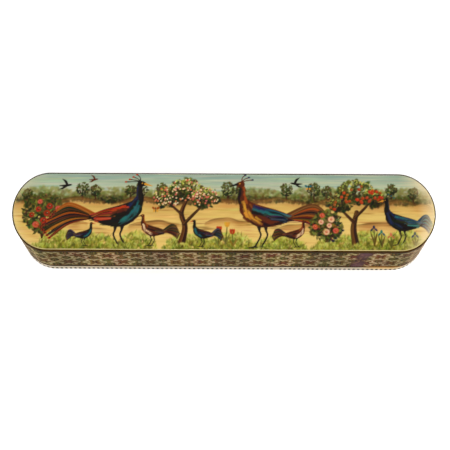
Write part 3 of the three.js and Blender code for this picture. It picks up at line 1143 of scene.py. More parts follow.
def lay(near, cover, colour, body):
    """Pulls the colours of some points towards a paint by `cover`, and raises the paint there."""
    paint = np.asarray(PALETTE[colour] if isinstance(colour, str) else colour, float)
    canvas[near] += cover[:, None] * (paint - canvas[near])
    relief[near] = np.maximum(relief[near] * (1 - LEVELLED * cover), body * cover)


def heading(turn):
    """The direction at `turn` degrees, as its x and y."""
    return math.cos(math.radians(turn)), math.sin(math.radians(turn))


def dab(x, y, length, width, turn, colour, cover, soft, body=0.5):
    """An oval mark of the given length and width, turned by `turn` degrees."""
    reach = max(length, width) / 2
    near = np.flatnonzero((abs(canvas_x - x) < reach) & (abs(canvas_y - y) < reach))
    c, s = heading(turn)
    dx, dy = canvas_x[near] - x, canvas_y[near] - y
    far = np.hypot((dx * c + dy * s) / (length / 2), (dy * c - dx * s) / (width / 2))
    lay(near, cover * np.clip((1 - far) / soft, 0, 1), colour, body)


def smooth_path(path, per_leg=6):
    """More points along a smooth curve through the given (x, y, width) points."""
    given = np.asarray(path, float)
    padded = np.concatenate([2 * given[:1] - given[1:2], given, 2 * given[-1:] - given[-2:-1]])
    made = []
    for a, b, c, d in zip(padded, padded[1:], padded[2:], padded[3:]):
        for t in np.arange(per_leg) / per_leg:
            curve = 2 * b + (c - a) * t
            curve += (2 * a - 5 * b + 4 * c - d) * t**2
            curve += (3 * b - a - 3 * c + d) * t**3
            made.append(curve / 2)
    return np.array([*made, given[-1]])


def stroke(path, colour, cover, soft=0.35, body=0.7):
    """A mark through (x, y, width) points; its sides fade over `soft` millimetres."""
    line = smooth_path(path)
    line[:, 2] = np.maximum(line[:, 2], 0)
    margin = line[:, 2].max() / 2 + soft
    inside = (canvas_x > line[:, 0].min() - margin) & (canvas_x < line[:, 0].max() + margin)
    inside &= (canvas_y > line[:, 1].min() - margin) & (canvas_y < line[:, 1].max() + margin)
    near = np.flatnonzero(inside)
    px, py = canvas_x[near], canvas_y[near]
    depth = np.full(len(near), -np.inf)
    for a, b in zip(line, line[1:]):
        leg = b[:2] - a[:2]
        t = np.clip(((px - a[0]) * leg[0] + (py - a[1]) * leg[1]) / max(leg @ leg, 1e-9), 0, 1)
        far = np.hypot(px - a[0] - t * leg[0], py - a[1] - t * leg[1])
        depth = np.maximum(depth, (a[2] + t * (b[2] - a[2])) / 2 - far)
    lay(near, cover * np.clip(0.5 + depth / soft, 0, 1), colour, body)


print("a stroke through three points has", len(smooth_path([(0, 0, 1)] * 3)), "points")

# %% [markdown]
# ## Mixed and heaped paint
# No two touches have quite the same colour, because a painter mixes the paint anew each time. Leaves,
# hills and grass are heaps of dabs, dark below and light above, as the light falls on them.

# %% Mix and heap
COLOUR_SWING = [1, 1, 0.8]  # blue changes least
DAB_SHAPE = 0.55  # width of a heaped dab against its length


def varied(colour, amount=9):
    """A paint that is a little off, as one mixed anew."""
    off = hand.normal(0, amount, 3) * COLOUR_SWING
    return np.clip(np.asarray(PALETTE[colour], float) + off, 0, 255)


def any_of(paints):
    return paints[hand.integers(len(paints))]


def heap(x, y, reach, height, count, paints, size, cover, foot=-1.0):
    """Dabs heaped in an oval, or in its upper part from `foot`, with the last paints on top."""
    for _ in range(count):
        u = math.sqrt(hand.uniform(0, 1)) * math.cos(math.pi * hand.uniform(0, 1))
        v = hand.uniform(foot, 1)
        level = np.clip((v - foot) / (1 - foot) + hand.normal(0, 0.2), 0, 0.99)
        spot = (x + u * reach, y + v * height * math.sqrt(1 - u * u))
        long = size * hand.uniform(0.7, 1.3)
        turn = hand.uniform(0, 180)
        paint = varied(paints[int(level * len(paints))])
        dab(*spot, long, long * DAB_SHAPE, turn, paint, cover, soft=0.6)


print(f"a heaped dab is {DAB_SHAPE:.0%} as wide as it is long")

# %% [markdown]
# ## Sky and ground
# A painter works from the back to the front. First come the washes: a cool sky that warms towards
# the horizon and a straw-coloured ground. Long flat strokes break both.

# %% Paint the washes
PANEL_REACH = 114  # millimetres to either side, where the middles of flat strokes may lie
WASHES = [
    (-4, "straw"),
    (4, "ochre"),
    (8, "haze"),
    (12, "sky pale"),
    (17, "sky"),
    (21, "sky deep"),
    (21.5, "slate"),
]


def paint_washes():
    heights = [height for height, _ in WASHES]
    paints = np.array([PALETTE[paint] for _, paint in WASHES], float)
    for channel in range(3):
        canvas[:, channel] = np.interp(canvas_y, heights, paints[:, channel])


def flat_strokes(count, low_y, high_y, paints, length, width, cover):
    for _ in range(count):
        x, y = hand.uniform(-PANEL_REACH, PANEL_REACH), hand.uniform(low_y, high_y)
        long = hand.uniform(0.5, 1) * length
        paint = varied(any_of(paints), 8)
        wide = hand.uniform(0.5, 1) * width
        turn = hand.normal(0, 1.5)
        dab(x, y, long, wide, turn, paint, cover, soft=0.9, body=0.15)


SKY_PAINTS = ["sky deep", "sky", "sky pale", "sky", "sky pale"]
GROUND_PAINTS = ["straw", "ochre", "straw", "ochre"]
paint_washes()
flat_strokes(330, 9, 22, SKY_PAINTS, length=46, width=1.5, cover=0.45)
flat_strokes(110, 6.5, 12, ["haze", "sky pale", "hill light"], length=30, width=2.0, cover=0.4)
flat_strokes(190, -20, 5, GROUND_PAINTS, length=36, width=3.0, cover=0.4)
print("washes laid:", len(WASHES))

# %% [markdown]
# ## Hills, far trees and dunes
# Soft green hills and round trees stand far off, and dunes with brown brows lie before them. A dune
# is one line along its brow, drawn three times: a wide blush below, clay, and a thin dark edge.

# %% Paint hills, far trees and dunes
HILLS = [  # x, y, reach, height
    (-98, 8, 18, 6),
    (-62, 8.5, 22, 5),
    (-24, 8, 20, 6),
    (14, 8.5, 20, 5),
    (52, 8, 22, 6),
    (94, 8, 22, 6),
]
FAR_TREES = [(-107, 8, 3.6), (-77, 11, 4.4), (-70, 10.5, 3.6), (-34, 11, 4)]  # x, y, size
FAR_TREES += [(2, 11, 4.6), (9, 10.5, 3.6), (49, 11, 4.4), (56, 10.5, 3.4), (91, 11.5, 4)]
FAR_TREES += [(103, 9.5, 3.8), (-51, 10.5, 3.6), (-45, 11, 4.6), (34, 11, 4.2)]
FAR_CROWN = ["leaf dark", "leaf dark", "leaf", "hill dark"]
DUNES = [(-104, 3, 12, 4), (-80, 5, 15, 3), (-44, 4, 17, 4), (-8, 5, 19, 3)]  # x, y, reach, height
DUNES += [(28, 4, 19, 4), (64, 5, 18, 3), (96, 3, 17, 4), (-88, -7, 14, 2)]
DUNES += [(-36, -8, 15, 2), (2, -6, 12, 2), (44, -9, 14, 2), (84, -8, 15, 2)]
DUNE_BROW = [(-1, 0, 0.3), (-0.7, 0.5, 0.8), (-0.3, 0.9, 1.0), (0.1, 1, 0.8)]  # u, v, width
DUNE_BROW += [(0.5, 0.6, 1.0), (0.8, 0.4, 0.5), (1, 0, 0.2)]
DUNE_LAYERS = [  # drop below the brow, width, paint, cover
    (2.4, 4.2, "blush", 0.4),
    (0.9, 2.2, "clay", 0.5),
    (0, 0.8, "earth", 0.6),
]


def paint_hill(x, y, reach, height):
    greens = ["hill dark", "hill", "hill", "hill light"]
    heap(x, y, reach, height, int(reach * 20), greens, size=3.4, cover=0.4, foot=-0.7)
    heap(x, y - 1.5, reach, 2.2, int(reach * 8), ["leaf dark", "leaf"], size=2.6, cover=0.6)


def paint_far_tree(x, y, size):
    """A round tree far away: a short trunk and a crown that is dark below."""
    stroke([(x, y - size, 0.9), (x, y, 0.7)], "bark", 0.9)
    heap(x, y + 0.4 * size, 0.8 * size, 0.9 * size, int(20 * size), FAR_CROWN, size=1.8, cover=0.75)


def paint_dune(x, y, reach, height):
    """A rise in the ground: a brown brow, shaded below, with a blush on its near side."""
    brow = [
        (x + u * reach, y + v * height + hand.normal(0, 0.35), w * hand.uniform(0.5, 1.3))
        for u, v, w in DUNE_BROW
    ]
    for drop, width, paint, cover in DUNE_LAYERS:
        layer = [(px, py - drop, w * width) for px, py, w in brow]
        stroke(layer, paint, cover, soft=0.7 + 0.7 * drop, body=0.2)


for hill in HILLS:
    paint_hill(*hill)
for far_tree in FAR_TREES:
    paint_far_tree(*far_tree)
for dune in DUNES:
    paint_dune(*dune)
flat_strokes(150, -18, 3, ["blush", "clay", "ochre", "ochre"], length=18, width=1.6, cover=0.45)
flat_strokes(60, -11, -4, ["clay", "earth", "blush"], length=15, width=1.3, cover=0.45)
print("hills:", len(HILLS), "far trees:", len(FAR_TREES), "dunes:", len(DUNES))

# %% [markdown]
# ## Grass
# Grass is a mound of dabs, dark at its foot, with blades over it, short strokes that lean a little.
# The mounds leave bare ground between them, so that the birds' feet and the stems can be seen.

# %% Paint the grass
GRASS_FOOT = -22.5
GRASS_MOUNDS = [(-88, 13, 12), (-70, 16, 10), (-47, 11, 11), (-18, 15, 10)]  # x, reach, height
GRASS_MOUNDS += [(4, 13, 11), (30, 15, 9), (62, 13, 10), (78, 14, 12), (97, 12, 13)]
MOUND_GREENS = ["grass dark", "grass", "grass dark", "grass", "grass light"]
BLADE_GREENS = ["grass dark", "grass", "grass light", "leaf"]


def paint_grass(x, reach, height):
    count = int(reach * height * 2.6)
    heap(x, GRASS_FOOT, reach, height, count, MOUND_GREENS, size=3.0, cover=0.55, foot=0.0)
    for _ in range(int(reach * 10)):
        u = hand.uniform(-1, 1)
        y = GRASS_FOOT + hand.uniform(0.1, 0.95) * height * math.sqrt(1 - u * u)
        tip = (x + u * reach + hand.normal(0, 0.6), y + hand.uniform(0.8, 2), 0.1)
        paint = varied(any_of(BLADE_GREENS))
        stroke([(x + u * reach, y, 0.5), tip], paint, 0.5, soft=0.5, body=0.5)


for mound in GRASS_MOUNDS:
    paint_grass(*mound)
print("grass mounds:", len(GRASS_MOUNDS))

# %% [markdown]
# ## Rose bushes
# A leaf is a stroke that swells and thins, with a pale rib. A rose is a dark round with lighter petals
# laid round it and a pale heart. A bush has stems, leaves heaped in an oval, and roses over them, each
# turned on from the last by the golden angle, so that no two line up.

# %% Paint roses and bushes
LEAF_WIDTH = 0.42  # of its length
ROSE_PETALS = 6
PETAL_PLACE = 0.28  # of a rose's size, from its middle
GOLDEN_TURN = 2.4  # radians
BUSH_GREENS = ["leaf dark", "leaf dark", "leaf"]
BUSH_LEAVES = ["leaf", "leaf dark", "leaf light"]


def paint_leaf(x, y, length, turn, paint):
    c, s = heading(turn)
    middle = (x + c * length / 2, y + s * length / 2, length * LEAF_WIDTH)
    stroke([(x, y, 0.2), middle, (x + c * length, y + s * length, 0.1)], varied(paint), 0.95)
    rib = (x + c * length * 0.8, y + s * length * 0.8, 0.1)
    stroke([(x, y, 0.25), rib], "leaf light", 0.35)


def paint_rose(x, y, size, deep, fair):
    dab(x, y, size, size, 0, varied(deep, 6), 1, soft=0.3, body=0.8)
    for i in range(ROSE_PETALS):
        turn = 360 / ROSE_PETALS * i + hand.uniform(-12, 12)
        c, s = heading(turn)
        px, py = x + PETAL_PLACE * size * c, y + PETAL_PLACE * size * s
        dab(px, py, size * 0.5, size * 0.34, turn + 90, varied(fair, 10), 0.75, soft=0.5, body=1)
    dab(x, y, size * 0.34, size * 0.34, 0, varied(deep, 6), 0.8, soft=0.6, body=1)
    px, py = x + 0.05 * size, y + 0.06 * size
    dab(px, py, size * 0.18, size * 0.14, 30, "shell", 0.7, soft=0.6, body=1)


def spot_in_oval(x, y, reach, height, fullest=1.0):
    """A place by chance in an oval, or in the inner share `fullest` of it."""
    turn, far = hand.uniform(0, 2 * math.pi), math.sqrt(hand.uniform(0, fullest))
    return x + far * reach * math.cos(turn), y + far * height * math.sin(turn)


def paint_bush(x, y, reach, height, flowers):
    for _ in range(5):
        tip = x + hand.uniform(-0.7, 0.7) * reach
        bend = ((x + tip) / 2, y + height * 0.4, 0.7)
        stroke([(x, y, 0.9), bend, (tip, y + height * 0.8, 0.3)], "bark", 0.9)
    middle = y + 0.55 * height
    heap(x, middle, reach, 0.45 * height, int(reach * height), BUSH_GREENS, size=3.0, cover=0.8)
    for _ in range(int(reach * height * 0.8)):
        spot = spot_in_oval(x, middle, reach, 0.45 * height)
        length, turn = hand.uniform(1.8, 3), hand.uniform(0, 360)
        paint_leaf(*spot, length, turn, any_of(BUSH_LEAVES))
    for i, (deep, fair) in enumerate(flowers):
        far = math.sqrt((i + 0.5) / len(flowers)) * 0.8
        c, s = math.cos(GOLDEN_TURN * i), math.sin(GOLDEN_TURN * i)
        spot = (x + far * reach * c, middle + 0.4 * height * far * s)
        paint_rose(*spot, hand.uniform(3.2, 4.6), deep, fair)


print("petals of a rose:", ROSE_PETALS)

# %% [markdown]
# ## Trees and flowers
# Trees are forked strokes with streaks of light and dark bark, under clouds of leaves with touches of
# blossom or fruit. A tulip is three upright petals over two leaves, and an iris has falls to both
# sides and a crown. Only the places and paints will differ, so each plant is drawn once here.

# %% Paint trees and flowers
BARK_STREAKS = (-0.3, -0.1, 0.12, 0.3)  # of a limb's width, to either side
CROWN_GREENS = ["leaf dark", "leaf", "leaf light", "grass light"]


def paint_tree(limbs, crown, touches):
    """A trunk and its limbs, a crown of leaf dabs, and touches of blossom or fruit over it."""
    for limb in limbs:
        stroke(limb, "bark", 1, soft=0.4)
        for side in BARK_STREAKS:
            paint = varied("clay" if side < 0 else "ink")
            streak = [(x + side * w, y + hand.normal(0, 0.5), 0.16 * w) for x, y, w in limb]
            stroke(streak, paint, 0.5, soft=0.4)
    for x, y, reach, height in crown:
        heap(x, y, reach, height, int(reach * height * 1.6), BUSH_GREENS, size=3.6, cover=0.9)
        heap(x, y, reach, height, int(reach * height * 3.4), CROWN_GREENS, size=1.7, cover=0.7)
    for colour, count, size in touches:
        for _ in range(count):
            x, y = spot_in_oval(*any_of(crown), fullest=0.9)
            dab(x, y, size, size, 0, varied(colour, 8), 0.95, soft=0.35, body=1)
            px, py = x + 0.15 * size, y + 0.15 * size
            dab(px, py, size * 0.4, size * 0.3, 40, "shell", 0.4, soft=0.8, body=1)


def paint_tulip(x, y, height, colour):
    lean = hand.uniform(-0.8, 0.8)
    bend = (x + lean * 0.4, y + height / 2, 0.45)
    top = y + height
    stroke([(x, y, 0.5), bend, (x + lean, top, 0.4)], "leaf", 1)
    for side in (-1, 1):
        bend = (x + side * 1.2, y + height * 0.35, 1.0)
        tip = (x + side * 2.2, y + height * 0.62, 0.1)
        stroke([(x, y, 0.4), bend, tip], varied("leaf light"), 0.95)
    for side in (-0.75, 0.75, 0):
        petal = varied(colour, 8)
        dab(x + lean + side, top + 1.3, 3.6, 1.7, 90 - side * 16, petal, 0.95, soft=0.35, body=1)
    dab(x + lean, top + 0.9, 1.5, 0.7, 90, "saffron", 0.6, soft=0.7, body=1)


def paint_iris(x, y, height, colour):
    top = y + height
    stroke([(x, y, 0.5), (x, top, 0.45)], "leaf", 1)
    for side in (-1, 1):
        bend = (x + side * 0.9, y + height * 0.5, 0.9)
        tip = (x + side * 1.9, y + height * 0.9, 0.1)
        stroke([(x, y, 0.5), bend, tip], varied("leaf"), 0.95)
        fall = varied(colour, 8)
        dab(x + side * 1.2, top + 0.1, 2.4, 1.3, -side * 50, fall, 0.95, soft=0.4, body=1)
    dab(x, top + 1.5, 2.6, 1.6, 90, varied(colour, 8), 0.95, soft=0.4, body=1)
    dab(x, top + 0.5, 0.9, 0.6, 90, "saffron", 0.9, soft=0.6, body=1)


print("streaks on a limb:", len(BARK_STREAKS))

# %% [markdown]
# ## A bird's body
# A bird is drawn in its own small frame, one unit up from the middle of its body to its head, and then
# placed, scaled and turned to face left or right. Its body and neck are strokes that swell, covered
# with short feathers whose lighter ones lie on its back. The same drawing in other paints and with
# another tail gives another bird.

# %% Draw a bird's body
Plumage = namedtuple("Plumage", "body sheen breast wing tail beak")
TRUNK = [(-0.7, 0.06, 0.12), (-0.3, 0.06, 0.44), (0.12, 0.1, 0.6), (0.46, 0.3, 0.44)]
NECK = [(0.4, 0.26, 0.42), (0.6, 0.56, 0.24), (0.6, 0.84, 0.14), (0.62, 1.0, 0.12)]
BREAST = [(0.14, -0.04, 0.24), (0.46, 0.16, 0.34), (0.6, 0.5, 0.2)]
FOOT_Y = -0.76
RIGHT = 1
LEFT = -1


def drawing_at(x, y, size, facing):
    """A function that puts a path of a small drawing onto the panel."""

    def put(path):
        return [(x + facing * size * px, y + size * py, size * width) for px, py, width in path]

    return put


def dot(put, place, length, width, colour, cover, soft=0.4, body=0.5):
    """A level dab, at a place and of a size in the drawing's own units."""
    (x, y, long), (_, _, wide) = put([(*place, length), (*place, width)])
    dab(x, y, long, wide, 0, colour, cover, soft, body)


def feathers(put, path, paints, count):
    """Short feathers along a path, with the last paints on its upper side."""
    line = smooth_path(path)
    for _ in range(count):
        i = hand.integers(1, len(line))
        (ax, ay, _), (bx, by, width) = line[i - 1], line[i]
        dx, dy = np.array([bx - ax, by - ay]) / math.hypot(bx - ax, by - ay)
        side = hand.uniform(-0.45, 0.45)
        px, py = bx - dy * side * width, by + dx * side * width
        paint = varied(paints[int((side + 0.5) * len(paints))], 7)
        tip = (px - 0.16 * dx, py - 0.16 * dy - 0.02, 0.02)
        stroke(put([(px, py, 0.07), tip]), paint, 0.55, soft=0.4)


def paint_legs(put):
    for leg in (-0.02, 0.16):
        foot = leg + 0.1
        shank = [(leg, -0.1, 0.16), (leg - 0.02, -0.3, 0.06), (leg - 0.05, -0.46, 0.045)]
        stroke(put([*shank, (foot, FOOT_Y, 0.04)]), "ink", 0.95, soft=0.3)
        for toe in (-0.1, 0.08, 0.16):
            path = [(foot, FOOT_Y, 0.035), (foot + toe, FOOT_Y - 0.03, 0.025)]
            stroke(put(path), "ink", 0.95, soft=0.3)


def paint_body(put, plumage):
    body = plumage.body
    for part in (TRUNK, NECK):
        stroke(put(part), body, 1)
        feathers(put, part, ["ink", body, body, plumage.sheen], 70)
    feathers(put, BREAST, [body, plumage.breast, plumage.breast, body], 60)


print("a bird's plumage has", ", ".join(Plumage._fields))

# %% [markdown]
# ## Its tail, head and wing
# The tail and the wing are fans of long strokes, each with a pale shaft, and the tail's feathers end
# in eyes. A fan could be copied and turned, but drawing each feather from its own number lets the fan
# spread and droop as it goes.

# %% Draw its tail, head and wing
TAIL_LIFTS = np.linspace(-0.28, 0.34, 11)
LONGEST_FEATHER = 4  # its number in the tail
WING_FEATHERS = 9
HEAD = [(0.62, 1.02, 0.17), (0.7, 1.01, 0.13)]
BEAK = [(0.75, 1.01, 0.07), (0.94, 0.95, 0.015)]
EYE = (0.67, 1.03)
SHOULDER = [(-0.1, 0.2, 0.2), (0.3, 0.3, 0.26)]
BELLY_SHADE = [(-0.6, -0.02, 0.03), (0.1, -0.2, 0.04), (0.46, 0.04, 0.03)]


def thin_line(*places):
    """The same path with the width of a hair, running out at its tip."""
    return [(x, y, 0.02) for x, y, _ in places[:-1]] + [(*places[-1][:2], 0.01)]


def paint_tail(put, plumage, length, drop):
    for i, lift in enumerate(TAIL_LIFTS):
        shorter = 1 - 0.05 * abs(i - LONGEST_FEATHER)
        tip = (-0.8 - length * shorter, 0.1 + lift * 1.2 - drop, 0.05)
        bend = (-0.7 - length * 0.45, 0.2 + lift * 0.8 - drop * 0.2, 0.12)
        paint = varied(plumage.tail[i % len(plumage.tail)], 8)
        stroke(put([(-0.5, 0.08, 0.1), bend, tip]), paint, 0.95, soft=0.3)
        stroke(put(thin_line((-0.6, 0.09, 0), bend, tip)), "straw", 0.25, soft=0.3)
        dot(put, tip[:2], 0.13, 0.09, varied(plumage.wing[0], 8), 0.8, soft=0.5)
        dot(put, tip[:2], 0.06, 0.05, "ink", 0.9, soft=0.5)


def paint_head(put, plumage, crest):
    stroke(put(HEAD), plumage.body, 1)
    stroke(put(BEAK), plumage.beak, 1, soft=0.3)
    for i in range(crest):
        bend = (0.6 - 0.06 * i, 1.2 - 0.04 * i, 0.02)
        tip = (0.52 - 0.1 * i, 1.28 - 0.07 * i, 0.03)
        stroke(put([(0.62, 1.08, 0.03), bend, tip]), plumage.body, 1, soft=0.3)
        dot(put, tip[:2], 0.08, 0.06, plumage.wing[0], 1)


def paint_wing(put, plumage):
    wing = plumage.wing
    for i in range(WING_FEATHERS):
        root = (0.3 - 0.06 * i, 0.34 - 0.04 * i, 0.06)
        middle = (-0.16 - 0.05 * i, 0.26 - 0.034 * i, 0.1)
        tip = (-0.74 + 0.03 * i, 0.12 - 0.026 * i, 0.02)
        stroke(put([root, middle, tip]), varied(wing[i % len(wing)], 8), 0.95, soft=0.3)
        stroke(put(thin_line(root, middle, tip)), "shell", 0.3, soft=0.3)
    feathers(put, SHOULDER, [wing[-1], wing[1], wing[0]], 40)
    stroke(put(BELLY_SHADE), "ink", 0.6, soft=0.5)


def paint_bird(x, y, size, facing, plumage, tail_length, tail_drop, crest=0):
    put = drawing_at(x, y, size, facing)
    paint_tail(put, plumage, tail_length, tail_drop)
    paint_legs(put)
    paint_body(put, plumage)
    paint_head(put, plumage, crest)
    paint_wing(put, plumage)
    dot(put, EYE, 0.05, 0.05, "saffron", 0.9, body=1)


print("feathers in a tail:", len(TAIL_LIFTS), "and in a wing:", WING_FEATHERS)

# %% [markdown]
# ## Wings in the air
# Far birds in flight are three strokes, a body and two wings. A butterfly is four dabs and a line.

# %% Draw what flies
FLYING_BIRD = [
    [(-0.9, 0.02, 0.1), (-0.2, 0, 0.3), (0.45, 0.12, 0.24), (0.7, 0.14, 0.02)],
    [(0.1, 0.08, 0.3), (-0.15, 0.6, 0.3), (-0.6, 0.95, 0.03)],
    [(0.0, 0.0, 0.24), (-0.5, -0.35, 0.22), (-0.95, -0.45, 0.02)],
]


def paint_flying_bird(x, y, size, facing, colour):
    put = drawing_at(x, y, size, facing)
    for path in FLYING_BIRD:
        stroke(put(path), colour, 1, soft=0.3)


def paint_butterfly(x, y, size, colour):
    for side in (-1, 1):
        px, py = x + side * 0.42 * size, y + 0.3 * size
        dab(px, py, size * 0.9, size * 0.55, side * 40, colour, 1, soft=0.35, body=1)
        px, py = x + side * 0.3 * size, y - 0.25 * size
        dab(px, py, size * 0.6, size * 0.42, -side * 45, "saffron", 1, soft=0.35)
    stroke([(x, y - 0.5 * size, 0.35), (x, y + 0.5 * size, 0.35)], "ink", 1, soft=0.3)


print("strokes in a flying bird:", len(FLYING_BIRD))

# %% [markdown]
# ## The garden
# The motifs are spread along the panel in an uneven rhythm, tall and low, dark and bright, and the
# two largest birds face each other across the flowering tree. First the paints, the trees and the
# places of the small things are set down, each limb as a path that thins towards its tip.

# %% Plan the garden
RUST_WING = ["red", "russet", "rust", "ink"]
BLUE_WING = ["navy", "teal", "navy", "ink"]
SEA_WING = ["teal", "navy", "teal", "leaf dark"]
DARK_BIRD = Plumage("ink", "navy", "teal", RUST_WING, ["russet", "ink", "rust", "ink"], "saffron")
BROWN_BIRD = Plumage("russet", "rust", "saffron", BLUE_WING, ["russet", "rust", "earth", "ink"], "ink")
BLACK_BIRD = Plumage("ink", "navy", "navy", SEA_WING, ["ink", "navy", "teal"], "saffron")
SMALL_BIRD = Plumage(
    "russet", "rust", "shell", ["bark", "russet", "ink"], ["russet", "ink", "bark"], "ink"
)
SPOTTED_BIRD = Plumage(
    "ink", "leaf dark", "teal", ["russet", "ink", "navy"], ["ink", "navy", "ink"], "red"
)
RED_ROSES = [("russet", "red")] * 5 + [("red", "rose")] * 4
PINK_ROSES = [("rose", "shell")] * 4 + [("red", "rose")] * 3
BLOSSOM_LIMBS = [
    [(-23, -19, 4.2), (-21, -9, 3.0), (-23, -1, 2.5), (-20, 7, 1.3)],
    [(-21.5, -7, 2.0), (-15, 0, 1.4), (-10, 5, 0.6)],
    [(-22.5, -2, 1.7), (-29, 4, 1.1), (-33, 8, 0.5)],
]
BLOSSOM_CROWN = [(-31, 8, 7.5, 6), (-21, 12.5, 9, 6.5), (-10, 8, 8, 6)]
FRUIT_LIMBS = [
    [(71, -19, 4.2), (70, -9, 3.2), (72, 0, 2.4)],
    [(70.5, -6, 2.0), (65, 0, 1.3), (62, 4, 0.6)],
    [(71, -3, 1.8), (77, 3, 1.2), (80, 7, 0.6)],
]
FRUIT_CROWN = [(63, 6, 7.5, 6), (72, 11.5, 10, 7), (81, 8, 6, 5.5)]
TULIPS = [(-3, -19, 8, "red"), (1, -18.5, 10, "saffron"), (5, -19.5, 7, "red")]
IRISES = [(81, -19, 9, "navy"), (85, -19.5, 7, "teal"), (103, -20, 6.5, "navy"), (90, -20, 6, "rose")]
FLYING_BIRDS = [(-86, 14.5, 4.2, RIGHT, "ink"), (-71, 18, 3, RIGHT, "russet"), (39, 16, 4, LEFT, "ink")]
BUTTERFLIES = [(-37, 1, 2.8, "rust"), (46, 14, 2.6, "teal")]
FRONT_GRASS = [(-98, 8), (-55, 7), (-23, 6), (26, 8), (54, 8), (71, 6), (98, 7)]
FRONT_GRASS_HEIGHT = 4.5
print("flowers planned:", len(RED_ROSES + PINK_ROSES), "roses,", len(TULIPS + IRISES), "others")

# %% [markdown]
# Now the garden is painted, roughly from the left to the right, with the small birds after the two
# largest. The last to come are what flies and a low fringe of grass, which covers the feet of stems
# and trunks.

# %% Paint the garden
paint_bush(-98, -15, reach=11, height=25, flowers=RED_ROSES)
paint_bird(-58, -4.5, 20, RIGHT, DARK_BIRD, tail_length=1.25, tail_drop=0.3, crest=4)
paint_tree(BLOSSOM_LIMBS, BLOSSOM_CROWN, [("rose", 70, 1.3), ("shell", 80, 1.1)])
paint_bird(22, -4.5, 20, LEFT, BROWN_BIRD, tail_length=1.3, tail_drop=0.35, crest=3)
for tulip in TULIPS:
    paint_tulip(*tulip)
paint_bush(55, -18, reach=9, height=19, flowers=PINK_ROSES)
paint_bird(-38, -12, 9.4, LEFT, SMALL_BIRD, tail_length=0.7, tail_drop=0.1)
paint_bird(38, -13.5, 8, RIGHT, SMALL_BIRD, tail_length=0.7, tail_drop=0.1)
paint_bird(-76, -14, 7, RIGHT, SPOTTED_BIRD, tail_length=0.5, tail_drop=0.1)
paint_bird(-11, -13.5, 8, LEFT, SPOTTED_BIRD, tail_length=0.5, tail_drop=0.1)
paint_tree(FRUIT_LIMBS, FRUIT_CROWN, [("rust", 14, 2.0), ("red", 20, 2.2)])
for iris in IRISES:
    paint_iris(*iris)
paint_bird(97, -7.5, 14, LEFT, BLACK_BIRD, tail_length=0.4, tail_drop=0.35, crest=3)
for flying_bird in FLYING_BIRDS:
    paint_flying_bird(*flying_bird)
for butterfly in BUTTERFLIES:
    paint_butterfly(*butterfly)
for x, reach in FRONT_GRASS:
    paint_grass(x, reach, FRONT_GRASS_HEIGHT)
print(f"paint stands up to {relief.max():.2f} of its full thickness")

# %% [markdown]
# ## Worn ends
# The lid is lifted and carried by its ends, so the paint has worn thin there and the bone shines
# through, most of all at the right. A mask in the material could do it, but laid on the canvas like a
# last thin paint the wear follows the outline and takes the paint's relief away with it.

# %% Wear the ends
WEAR_ONSET = 1.6  # how soon the wear sets in along the rounded end
LEAST_WORN = 0.75  # of the wear, at the points that have kept most paint


def wear_end(side, reach, cover):
    """Lets the bone show through within `reach` millimetres of the edge of one rounded end."""
    into_end = np.clip((side * canvas_x - SPRING_X / MM) / (END_DEPTH / MM), 0, 1)
    from_edge = (1 - np.hypot(into_end, canvas_y * MM / HALF_WIDTH)) * END_DEPTH / MM
    near = np.flatnonzero((into_end > 0) & (from_edge < reach))
    thin = np.clip(1 - from_edge[near] / reach, 0, 1) * np.clip(WEAR_ONSET * into_end[near], 0, 1)
    lay(near, cover * thin * hand.uniform(LEAST_WORN, 1.0, len(near)), "bare bone", 0.0)
    print(f"{len(near)} points worn at the {'right' if side == RIGHT else 'left'} end")


wear_end(RIGHT, reach=10.0, cover=1.0)
wear_end(LEFT, reach=5.0, cover=0.4)

# %% [markdown]
# ## Paint and varnish on the panel
# The colours and the paint's thickness go onto the mesh as attributes. In the material, bare bone
# shows on the bevel along the front, where hands have rubbed it, the paint's relief makes the varnish
# ripple a little, and the varnish itself is the shader's coat: glossy, over colours that are faintly
# yellowed and clouded.

# %% Store the paint
FLAT_WITHIN = 0.01 * MM
BARE_TO = 2.0  # y in millimetres, up to which the bevel is bare
BARE_FADE = 12.0  # millimetres, over which the paint then comes in
BARE_BONE = (172, 156, 100)
BONE_FIBRE = (134, 112, 64)
PANEL_VARNISH = (0.64, 0.61, 0.53, 1.0)


def store(piece, name, values):
    held = piece.data.attributes.new(name, "FLOAT", "POINT")
    held.data.foreach_set("value", values.astype(np.float32))


def store_paint(piece):
    shade = piece.data.attributes.new("paint", "FLOAT_COLOR", "POINT")
    colours = np.concatenate([linear(canvas), np.ones((len(canvas), 1))], axis=1)
    shade.data.foreach_set("color", colours.astype(np.float32).ravel())
    on_face = points[:, 2] > LID_TOP - FLAT_WITHIN
    behind = np.clip((canvas_y - BARE_TO) / BARE_FADE, 0, 1)
    store(piece, "relief", relief)
    store(piece, "painted", np.maximum(on_face, behind))


def make_painted_bone():
    material, tree, shader = new_finish(
        "painted_bone", Coat_Weight=0.4, Coat_Roughness=0.06, Specular_IOR_Level=0.02
    )
    fibre = effect(tree, FIBRE, Length=10.0, Scale=1100.0)
    bare = mix(tree, streaks(tree, fibre, start=0.5, most=0.5), rgba(BARE_BONE), rgba(BONE_FIBRE))
    brushed = between(tree, fibre["Streak"], 0.94, 1.05)
    paint = tint(tree, attribute(tree, "paint", "Color"), brushed)
    varnished = effect(tree, OLD_VARNISH, Color=paint, Tint=PANEL_VARNISH, Scale=45.0)["Color"]
    shown = mix(tree, attribute(tree, "painted"), bare, varnished)
    relief_height = attribute(tree, "relief")
    dress(tree, shader, shown, rough=(fibre["Streak"], 0.42, 0.58), relief=(relief_height, 0.03 * MM))
    return material


store_paint(panel)
panel.data.materials.append(make_painted_bone())
stand_for(panel, "painted_panel")

